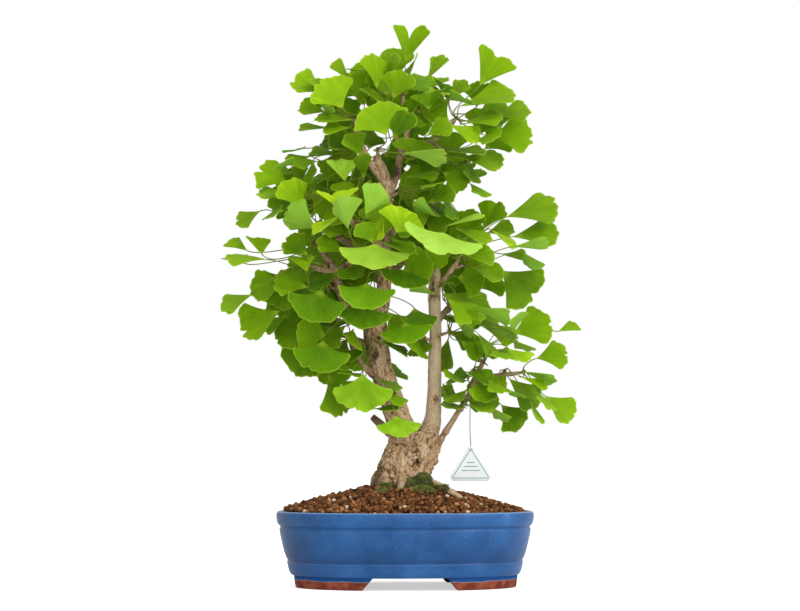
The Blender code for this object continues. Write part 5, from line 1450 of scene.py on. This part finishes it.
def budFaces(name):
    # gives each leaf of a spur the side of the bud that looks its way
    rows = spurLeaves[name][2]
    count = len(rows)
    _, centre, first, second = budFrame(name)
    sides = max(bud["leastSides"], count)
    angles = []
    for row in rows:
        toward = place(*row[:3]) - centre
        angles.append(atan2(toward.dot(second), toward.dot(first)))
    order = sorted(range(count), key=lambda i: angles[i])
    offset = sum(
        math.remainder(angles[i] - k * tau / sides, tau) for k, i in enumerate(order)
    ) / count
    outward = {}
    for k, i in enumerate(order):
        angle = offset + k * tau / sides
        outward[i] = first * cos(angle) + second * sin(angle)
    return centre, outward


def woodObstacles():
    room, sides = layout["woodRoom"], layout["spurSides"]
    wide, narrow = layout["spurRadii"]
    rings = [baseRing(section, base["sides"], room) for section in base["sections"]]
    found = [("base", ringTree(rings, True))]
    for name, rows in limbs.items():
        found.append((name, limbTree(placed(rows), layout["testSides"], room)))
    for name, (tip, foot, _) in spurLeaves.items():
        along, centre, _, _ = budFrame(name)
        found.append((name, limbTree([(place(*foot), wide), (place(*tip), narrow)], sides, room)))
        low, high = centre - along * bud["height"], centre + along * bud["height"]
        swollen = [(low, bud["radius"] * layout["budSwell"]), (high, bud["radius"])]
        found.append((name + " bud", limbTree(swollen, sides, room)))
    return found


def hits(tree, others, skip=()):
    return any(owner not in skip and tree.overlap(other) for owner, other in others)


def stalkIsClear(name, path, blade, wood, taken):
    # tests the smooth stalk and the one of straight runs, near the bud only against others
    for route in (path, straightRuns(path, blade)):
        whole = routeTree(route, stalk["routeRadius"])
        if hits(whole, taken, skip=(name,)) or hits(whole, wood, skip=(name, name + " bud")):
            return False
        outer = routeTree(route[len(route) // 4:], stalk["routeRadius"])
        if hits(outer, taken) or hits(outer, wood):
            return False
    return True


def findRoom(name, row, centre, direction, wood, taken, depths, sizes, bows):
    start = centre + direction * bud["radius"]
    for scale in sizes:
        for shift in depths:
            blade = Leaf(row, shift, scale)
            sheet = bladeTree(blade, 0.0)
            if hits(sheet, wood) or hits(sheet, taken):
                continue
            for bow in bows:
                for k in range(stalk["bowSides"] if bow else 1):
                    side = k * tau / stalk["bowSides"]
                    path = stalkPath(start, direction, blade, bow, side)
                    if stalkIsClear(name, path, blade, wood, taken):
                        return blade, path
    return None


def keepRoom(name, blade, path, taken):
    taken.append((name, bladeTree(blade, layout["bladeRoom"])))
    for route in (path, straightRuns(path, blade)):
        taken.append((name, routeTree(route, layout["stalkRoom"])))


def layOutLeaves():
    # the CAD's leaves in the CAD's order, the nearest to the eye first
    wood, taken, laid = woodObstacles(), [], {}
    faces = {name: budFaces(name) for name in spurLeaves}
    jobs = [
        (row[2], name, i) for name, (_, _, rows) in spurLeaves.items()
        for i, row in enumerate(rows)]
    for _, name, i in sorted(jobs):
        centre, outward = faces[name]
        found = findRoom(
            name, spurLeaves[name][2][i], centre, outward[i], wood, taken,
            layout["depths"], layout["sizes"], stalk["bows"])
        if found:
            laid[name, i] = found
            keepRoom(name, *found, taken)
    return wood, taken, laid


def bladeSpots(blade):
    # where the eye sees the blade, at a few points across and along it
    return [seenAt(blade.point(a / 3, b / 3)) for a in range(-3, 4) for b in range(1, 4)]


def mayShow(blade, crown):
    # a filling leaf stays within reach of the leaves in front of it or in a named gap
    low, high = filling["frontBack"]
    if not all(low < blade.point(a, 1.0).y < high for a in (-1.0, 0.0, 1.0)):
        return False
    for spot in bladeSpots(blade):
        if any(a < spot.x < b and c < spot.y < d for a, b, c, d in filling["open"]):
            return False
        near = crown.find(spot)[2] < filling["reach"]
        gap = any((spot.x - x) ** 2 + (spot.y - z) ** 2 < r * r for x, z, r in filling["spots"])
        if not near and not gap:
            return False
    return True


def addFilling(name, x, z, depth, lean, chance, crown, wood, taken, laid):
    # tries one more leaf on a spur, and says whether it found room
    row = (
        x, z, depth, lean, chance.uniform(*filling["length"]), chance.uniform(*filling["width"]),
        *usual)
    if not mayShow(Leaf(row, 0, 1.0), crown):
        return False
    along, centre, _, _ = budFrame(name)
    toward = place(x, z, depth) - centre
    outward = (toward - along * toward.dot(along)).normalized()
    found = findRoom(name, row, centre, outward, wood, taken, *filling["ruleFits"])
    if found:
        laid[nextLeaf(name, laid)] = found
        keepRoom(name, *found, taken)
    return found is not None


def nextLeaf(name, laid):
    return name, max(i for owner, i in laid if owner == name) + 1


def fillCrown(wood, taken, laid):
    # more leaves behind the ones that the table gives, by a rule
    chance = random.Random(filling["seed"])
    spots = [spot for blade, _ in laid.values() for spot in bladeSpots(blade)]
    crown = KDTree(len(spots))
    for i, spot in enumerate(spots):
        crown.insert(spot, i)
    crown.balance()
    for spur, *row, shade in filling["added"]:
        name, row = "leaves_" + spur, (*row, *usual)
        centre, outward = budFaces(name)
        found = findRoom(name, row, centre, outward[0], wood, taken, *filling["fits"])
        if found:
            number = nextLeaf(name, laid)
            laid[number], addedShades[number] = found, shade
            keepRoom(name, *found, taken)
    rest = (chance, crown, wood, taken, laid)
    for x, z, _ in filling["spots"]:
        name = min(spurLeaves, key=lambda n: math.dist((x, z), spurLeaves[n][0][:2]))
        tip = spurLeaves[name][0]
        for _ in range(filling["spotTries"]):
            angle = chance.uniform(0.0, tau)
            back = filling["spotStalk"]
            baseX, baseZ = x - back * cos(angle), z - back * sin(angle)
            depth = tip[2] + chance.uniform(*filling["behind"])
            if addFilling(name, baseX, baseZ, depth, math.degrees(angle), *rest):
                break
    for name, (tip, _, _) in spurLeaves.items():
        made = 0
        for _ in range(filling["tries"]):
            angle = chance.uniform(0.0, tau)
            length = chance.uniform(*filling["stalk"])
            depth = tip[2] + chance.uniform(*filling["behind"])
            x = tip[0] + length * cos(angle)
            z = tip[1] + length * sin(angle) - filling["sag"]
            lean = math.degrees(angle) + chance.uniform(-filling["lean"], filling["lean"])
            made += addFilling(name, x, z, depth, lean, *rest)
            if made == filling["each"]:
                break


def shownBlade(name, i, blade):
    # the blade as it is shown: opened wider than the CAD's, or as the table of looks gives it
    row, shift, scale = blade.made
    look = leafLooks.get((name, i))
    if look:
        half, *laid = (*look[3:], *(0, *usual)[len(look) - 3:])
        half = radians(half) if half else None
        shown = Leaf((*row[:3], *look[:3], *laid), shift, 1.0, leaf["shownWidest"], half)
    else:
        shown = Leaf(row, shift, (scale + 1.0) / 2.0, leaf["shownWidest"])
    shown.neck = 1.0 - leaf["shownNeck"] * shown.halfAngle / leaf["shownWidest"]
    shown.droop = leaf["shownDroop"]
    return shown


def bladeShape(number):
    # what makes one blade differ from the next: its scallops, waves, cup and cleft
    chance = random.Random(leaf["seed"] * 1000 + number)
    waves = [(rate, size, chance.uniform(0.0, tau)) for rate, size in leaf["scallops"]]
    cleft = None
    if chance.random() < leaf["cleftShare"]:
        cleft = (chance.uniform(-0.25, 0.25), chance.uniform(*leaf["cleftDeep"]), leaf["cleftWide"])
    cup = chance.uniform(-leaf["cup"], leaf["cup"])
    swing = [chance.uniform(0.0, tau) for _ in range(3)]
    return chance, waves, cleft, cup, swing


def bladeVert(blade, shape, across, along):
    # the fan with its rounded corners, scalloped rim and soft waves
    waves, cleft, cup, swing = shape
    corner = max(0.0, (abs(across) - leaf["cornerFrom"]) / (1.0 - leaf["cornerFrom"]))
    rim = 1.0 - leaf["cornerDrop"] * corner * corner
    run = across * min(1.0, blade.halfAngle / leaf["widest"])
    rim += sum(size * sin(rate * run + phase) for rate, size, phase in waves)
    if cleft:
        gap = abs(across - cleft[0]) / cleft[2]
        rim -= cleft[1] * max(0.0, 1.0 - gap) ** 1.5
    point = blade.point(across, along * rim)
    reach = blade.size * along
    out = across * blade.halfAngle
    lift = leaf["wave"] * reach * sin(6.0 * out + swing[0]) * along
    lift += leaf["wave"] * 0.6 * reach * sin(13.0 * out + swing[1]) * along * along
    lift += cup * reach * across * across * along
    return keptInside(point + blade.top * lift)


def keptInside(point):
    # no blade reaches past the CAD's own box
    low, high = cadBox
    rim = leaf["inside"]
    return Vector([
        bounded(value, a / mm + rim, b / mm - rim) for value, a, b in zip(point, low, high)])


def growBlade(bm, blade, number, shade, hue, cleft, tone):
    chance, *shape = bladeShape(number)
    if cleft:
        shape[1] = cleft
    columns, ribs = leaf["columns"], leaf["ribs"]
    before = len(bm.faces)
    fan = bm.loops.layers.uv["fan"]
    grid = bmesh.ops.create_grid(
        bm, x_segments=columns, y_segments=ribs, size=1.0, calc_uvs=True)["verts"]
    ragged = [1.0 + chance.uniform(-1.0, 1.0) * leaf["ragged"] for _ in range(columns + 1)]
    for vert in grid:
        across, along = -vert.co.x, 0.03 + 0.97 * (vert.co.y + 1.0) / 2.0
        column = round((across + 1.0) * columns / 2)
        stretch = 1.0 + (ragged[column] - 1.0) * along ** 4
        vert.co = bladeVert(blade, shape, across, along * stretch)
    faces = list({face for vert in grid for face in vert.link_faces})
    for part in faces + grid:
        part.normal_update()
    bmesh.ops.solidify(bm, geom=faces, thickness=leaf["thick"])
    bm.faces.ensure_lookup_table()
    for face in bm.faces[before:]:
        face.normal_update()
        upward = face.normal.dot(blade.top)
        for loop in face.loops:
            # the blade's thin side faces get a lighter shade and the rim's band: painted highlight
            # on the edge
            if abs(upward) < leaf["edge"]:
                loop[tone] = (min(1.0, shade + leaf["paintedEdgeHighlight"]), 0.0, hue, 1.0)
                loop[fan].uv.y = 1.0
            else:
                loop[tone] = (shade, float(upward < 0.0), hue, 1.0)


def addTubes(bm, paths, sides, colour, tone):
    mesh = tubeMesh(paths, sides)
    before = len(bm.faces)
    bm.from_mesh(mesh)
    bm.faces.ensure_lookup_table()
    for face in bm.faces[before:]:
        for loop in face.loops:
            loop[tone] = colour


def makeFoliage(name, leaves, number):
    # all that springs from one spur: its bud, the stalks and the blades
    chance = random.Random(number * 17 + leaf["seed"])
    bm = bmesh.new()
    tone = bm.loops.layers.float_color.new("leafTone")
    bm.loops.layers.uv.new("fan")
    shades = leafShades[name]
    for i, (blade, _) in leaves.items():
        shade = shades[i] if i < len(shades) else chance.uniform(*leaf["ruleShade"])
        shade = addedShades.get((name, i), shade)
        hue, cleft = leafHues.get((name, i), plainHue), leafClefts.get((name, i))
        growBlade(bm, shownBlade(name, i, blade), number * 40 + i, shade, hue, cleft, tone)
    thickFoot, middle, end = leaf["stalk"]
    paths = []
    for blade, path in leaves.values():
        rows = []
        for k, point in enumerate(path):
            part = k / (len(path) - 1)
            radius = middle + (thickFoot - middle) * (1.0 - part) ** 3 + (end - middle) * part ** 4
            rows.append((point, radius))
        rows.append((blade.point(0.0, 0.07), end * 0.5))
        paths.append(rows)
    addTubes(bm, paths, leaf["stalkSides"], (0.5, 0.0, 0.5, 1.0), tone)
    along, centre, _, _ = budFrame(name)
    radius, half = bud["radius"], bud["height"] / 2
    knob = [(centre + along * (half * rise), radius * part) for rise, part in bud["scales"]]
    addTubes(bm, [knob], 10, (0.5, 0.0, 1.0, 1.0), tone)
    bmesh.ops.remove_doubles(bm, verts=bm.verts, dist=0.004)
    return finishPiece(
        bm, name.replace("leaves_", "foliage_"), "leaf_green", name, crease=leaf["crease"])


# Pot: half width and height along its wall, from the underside up over the rim and down inside.
# Its edges: height, width and how far it stands out, which is less than nought for a groove.
pot = {
    "outer": [
        (92.0, 11.6), (111.0, 11.6), (112.8, 12.0), (114.6, 14.2), (115.9, 18.0), (116.8, 22.5),
        (117.3, 24.8), (116.5, 25.8), (116.6, 26.6), (118.2, 29.2), (120.6, 36.0), (122.9, 46.0),
        (124.7, 55.0), (125.0, 57.0), (124.2, 58.0), (123.8, 59.2), (124.6, 60.2), (126.4, 61.6),
        (127.7, 65.6), (128.1, 70.0), (127.7, 72.8), (126.3, 74.5), (124.4, 74.6), (122.8, 73.4),
        (121.4, 70.0), (120.5, 66.0), (117.8, 52.0), (115.0, 40.0), (109.4, 20.0), (108.0, 18.5),
        (92.0, 18.5)],
    "steps": 192, "roundness": 2.25, "narrower": 28.16, "cuts": 3, "drain": (58.0, 7.5),
    "floorHalf": 60.0,
    "edges": [
        (74.4, 1.1, 0.42), (57.2, 0.6, 0.16), (24.6, 0.7, 0.2), (59.2, 1.2, -0.2),
        (26.2, 1.0, -0.24)],
    "foot": {"half": (92.5, 112.4), "height": 11.9, "taper": 0.985, "from": 11.25, "to": 78.0,
             "topEnd": 36.0, "bottomEnd": 46.8, "steps": 60, "bevel": 0.9, "sharp": 0.7},
}


def rounded(points, passes):
    # cuts the corners of an outline, which keeps its two ends
    for _ in range(passes):
        found = [points[0]]
        for a, b in zip(points, points[1:]):
            for part in (0.25, 0.75):
                found.append(tuple(p + (q - p) * part for p, q in zip(a, b)))
        found.append(points[-1])
        points = found
    return points


def ontoOval(verts):
    # takes points turned about the upright axis onto the pot's rounded oval
    power = 2.0 / pot["roundness"]
    for vert in verts:
        half = hypot(vert.co.x, vert.co.y)
        c, s = vert.co.x / half, vert.co.y / half
        vert.co.x = half * copysign(abs(c) ** power, c)
        vert.co.y = (half - pot["narrower"]) * copysign(abs(s) ** power, s)


def makeBowl():
    bm = bmesh.new()
    outline = rounded(pot["outer"], pot["cuts"])
    low, high = pot["outer"][0][1], pot["outer"][-1][1]
    outline = [(pot["floorHalf"], low)] + outline + [(pot["floorHalf"], high)]
    profile = [bm.verts.new((half, 0.0, height)) for half, height in outline]
    edges = [bm.edges.new(pair) for pair in zip(profile, profile[1:])]
    bmesh.ops.spin(
        bm, geom=profile + edges, cent=(0, 0, 0), axis=(0, 0, 1), angle=tau,
        steps=pot["steps"], use_merge=True)
    ontoOval(bm.verts)
    fillOpenings(bm)
    bmesh.ops.recalc_face_normals(bm, faces=bm.faces)
    apart, radius = pot["drain"]
    cutter = bmesh.new()
    for x in (-apart, apart):
        bmesh.ops.create_cone(
            cutter, cap_ends=True, segments=48, radius1=radius, radius2=radius, depth=30.0,
            matrix=Matrix.Translation((x, 0.0, 15.0)))
    drill = toScene("drill", toMesh(cutter, "holes"))
    bowl = applyModifiers(
        toMesh(bm, "bowl"), ("BOOLEAN", {"operation": "DIFFERENCE", "object": drill}))
    bpy.data.objects.remove(drill)
    # edges that stand out shed their glaze, and grooves hold more of it
    edge = [
        0.5 + sum(
            share * exp(-((vert.co.z - z) / wide) ** 2) for z, wide, share in pot["edges"])
        for vert in bowl.vertices]
    addPointValues(bowl, "edge", edge)
    return finishPiece(bowl, "glazed_bowl", "blue_glaze", "pot")


def makeFeet():
    # one foot swept round its quarter of the oval, its end cut on a slant, then mirrored twice
    foot = pot["foot"]
    inner, outer = foot["half"]
    bm = bmesh.new()
    start = Matrix.Rotation(radians(foot["from"]), 3, "Z")
    section = [(inner, 0.0), (outer, 0.0), (outer, foot["height"]), (inner, foot["height"])]
    profile = [bm.verts.new(start @ Vector((half, 0.0, height))) for half, height in section]
    face = bm.faces.new(profile)
    bmesh.ops.spin(
        bm, geom=[face], cent=(0, 0, 0), axis=(0, 0, 1),
        angle=radians(foot["to"] - foot["from"]), steps=foot["steps"])
    ontoOval(bm.verts)
    corner = Vector((foot["topEnd"], 0.0, foot["height"]))
    slant = Vector((-foot["height"], 0.0, foot["topEnd"] - foot["bottomEnd"])).normalized()
    bmesh.ops.bisect_plane(
        bm, geom=allOf(bm), plane_co=corner, plane_no=slant, clear_outer=True)
    fillOpenings(bm)
    for vert in bm.verts:
        shrink = foot["taper"] + (1.0 - foot["taper"]) * vert.co.z / foot["height"]
        vert.co.x *= shrink
        vert.co.y *= shrink
    bmesh.ops.recalc_face_normals(bm, faces=bm.faces)
    sharp = [edge for edge in bm.edges if edge.calc_face_angle(0.0) > foot["sharp"]]
    bmesh.ops.bevel(
        bm, geom=sharp, offset=foot["bevel"], segments=2, profile=0.5, affect="EDGES", material=-1)
    for axis in ("X", "Y"):
        bmesh.ops.mirror(bm, geom=allOf(bm), axis=axis, merge_dist=-1.0)
    bmesh.ops.recalc_face_normals(bm, faces=bm.faces)
    return finishPiece(bm, "clay_feet", "bare_clay", "pot")


# Soil: grains on the CAD's mound, and the moss on it.
soil = {
    "spacing": 3.7, "size": (1.7, 2.7), "sink": 0.35, "inside": 0.985, "seed": 3, "heaped": 0.35,
    "ringHalf": 121.0, "lumpKinds": 7, "above": 200.0, "lowest": 66.0, "rowGap": 0.87,
    "astray": 1.2, "tint": (0.46, 0.17), "pumice": 0.012,
}
moss = {
    "moss_front": {"middle": (17.0, -33.0), "half": (15.0, 6.5), "height": 7.0, "tufts": 900},
    "moss_side": {"middle": (-24.0, -33.0), "half": (8.0, 5.0), "height": 4.0, "tufts": 360},
}


# Moss that climbs the base: middle x and z, half width and height, number of shoots.
climbingMoss = [
    (10, 102, 11, 5.5, 700), (21, 106, 8.5, 6.5, 620), (-15, 99, 7, 3.0, 260),
    (38, 97, 9, 3.2, 160), (24, 99, 9, 4.5, 380)]


def spotIn(chance, middle, half):
    # a spot in an oval patch, with its direction and its share of the way out
    angle, part = chance.uniform(0.0, tau), sqrt(chance.random())
    x = middle[0] + half[0] * part * cos(angle)
    return x, middle[1] + half[1] * part * sin(angle), angle, part


def shootTemplate(low, high, length, rise):
    # a moss shoot: a thin open cone
    bm = bmesh.new()
    bmesh.ops.create_cone(
        bm, cap_ends=False, segments=4, radius1=low, radius2=high, depth=length,
        matrix=Matrix.Translation((0.0, 0.0, rise)))
    return templateOf(bm)


def groundUnder(ground, x, y):
    return ground.ray_cast(Vector((x, y, soil["above"])), -up)[0]


def lumpTemplates(count, seed):
    # small rough lumps: a cube cut once each way, rounded and knocked about
    chance = random.Random(seed)
    found = []
    for _ in range(count):
        bm = bmesh.new()
        bmesh.ops.create_cube(bm, size=2.0)
        bmesh.ops.subdivide_edges(bm, edges=bm.edges[:], cuts=1, use_grid_fill=True)
        for vert in bm.verts:
            vert.co = vert.co.normalized() * chance.uniform(0.82, 1.14)
        found.append(templateOf(bm))
    return found


def makeGrains(ground):
    chance = random.Random(soil["seed"])
    placements, tints = [], []
    half, step, astray = soil["ringHalf"], soil["spacing"], soil["astray"]
    depth = half - pot["narrower"]
    rows, columns = int(depth / (step * soil["rowGap"])), int(half / step)
    for row in range(-rows, rows + 1):
        for column in range(-columns, columns + 1):
            x = (column + 0.5 * (row % 2)) * step + chance.uniform(-astray, astray)
            y = row * step * soil["rowGap"] + chance.uniform(-astray, astray)
            size = chance.uniform(*soil["size"])
            heap = 1 if chance.random() < soil["heaped"] else 0
            tint = bounded(chance.gauss(*soil["tint"]))
            if chance.random() < soil["pumice"]:
                tint = 1.0
            spin = [chance.uniform(0.0, tau) for _ in range(3)]
            shape = [size * chance.uniform(0.75, 1.2) for _ in range(3)]
            reach = (abs(x) / half) ** pot["roundness"] + (abs(y) / depth) ** pot["roundness"]
            found = groundUnder(ground, x, y) if reach <= soil["inside"] else None
            if found is None or found.z < soil["lowest"]:
                continue
            lift = size * (1.0 - soil["sink"]) + heap * size * 0.9
            matrix = Matrix.Translation((x, y, found.z + lift - size * 0.4))
            matrix @= Matrix.Rotation(spin[0], 4, "X") @ Matrix.Rotation(spin[1], 4, "Y")
            matrix @= Matrix.Rotation(spin[2], 4, "Z") @ Matrix.Diagonal((*shape, 1.0))
            placements.append(matrix)
            tints.append(tint)
    lumps = lumpTemplates(soil["lumpKinds"], soil["seed"])
    print("soil grains:", len(placements))
    return stampCopies("soil_grains", "soil_grains", lumps, placements, tints)


def makeMoss(name, clump, ground):
    # a cushion of short bent shoots, longest in its middle
    chance = random.Random(len(name))
    placements, tints = [], []
    for _ in range(clump["tufts"]):
        x, y, angle, part = spotIn(chance, clump["middle"], clump["half"])
        found = groundUnder(ground, x, y)
        rise = clump["height"] * (1.0 - part ** 2.4) * chance.uniform(0.75, 1.0)
        across = (-sin(angle), cos(angle), 0.0)
        lean = Matrix.Rotation(chance.uniform(-0.5, 0.5) + part * 0.7, 4, across)
        size = chance.uniform(0.8, 1.5)
        spin = Matrix.Rotation(chance.uniform(0, 6.28), 4, "Z")
        placements.append(
            Matrix.Translation((x, y, found.z + rise)) @ lean @ spin @ Matrix.Scale(size, 4))
        tints.append(chance.random())
    shoot = shootTemplate(0.42, 0.12, 2.0, 0.6)
    return stampCopies(name + "_tufts", "moss", [shoot], placements, tints, (name,))


def makeBaseMoss(trunks):
    # shoots that climb the front of the tree's base and the root beside it
    chance = random.Random(8)
    skin = surfaceOf(trunks.data)
    placements, tints = [], []
    for *middle, halfX, halfZ, count in climbingMoss:
        for _ in range(count):
            x, z, _, part = spotIn(chance, middle, (halfX, halfZ))
            seen = place(x, z, -60.0)
            spin, size = chance.uniform(0.0, tau), chance.uniform(0.8, 1.5)
            lean = Vector([chance.uniform(-0.6, 0.6) for _ in range(3)])
            spot, normal, _, _ = skin.ray_cast(seen, (seen - camera["eye"]).normalized())
            if spot is None or spot.y > 0.0:
                continue
            grows = (normal + lean + up * 0.5).to_track_quat("Z", "Y").to_matrix().to_4x4()
            spot = spot + normal * chance.uniform(-0.2, 1.6) * (1.0 - part * part)
            placements.append(
                Matrix.Translation(spot) @ grows @ Matrix.Rotation(spin, 4, "Z")
                @ Matrix.Scale(size, 4))
            tints.append(chance.random() * 0.7)
    shoot = shootTemplate(0.5, 0.14, 2.2, 0.7)
    return stampCopies("moss_on_base", "moss", [shoot], placements, tints)


def finishNodes():
    # CAD nodes that keep their own shape get their finish
    for name, slot in (("soil", "soil_bed"), ("drain_screen_left", "screen_plastic"),
                       ("drain_screen_right", "screen_plastic")):
        mesh = cadNodes[name].data
        mesh.materials.clear()
        mesh.materials.append(materials[slot])


makeBowl()
makeFeet()
ground = surfaceOf(cadNodes["soil"].data)
makeGrains(ground)
for name, clump in moss.items():
    makeMoss(name, clump, ground)
finishNodes()
print("pot, soil and moss made")

trunks = makeTrunks()
makeTwigs()
makeBaseMoss(trunks)
print("wood made")

wood, taken, laid = layOutLeaves()
print("leaves as in the CAD:", len(laid))
fillCrown(wood, taken, laid)
print("with the leaves behind them:", len(laid))
for number, name in enumerate(spurLeaves):
    own = {i: found for (owner, i), found in laid.items() if owner == name}
    makeFoliage(name, own, number)
print("foliage made")
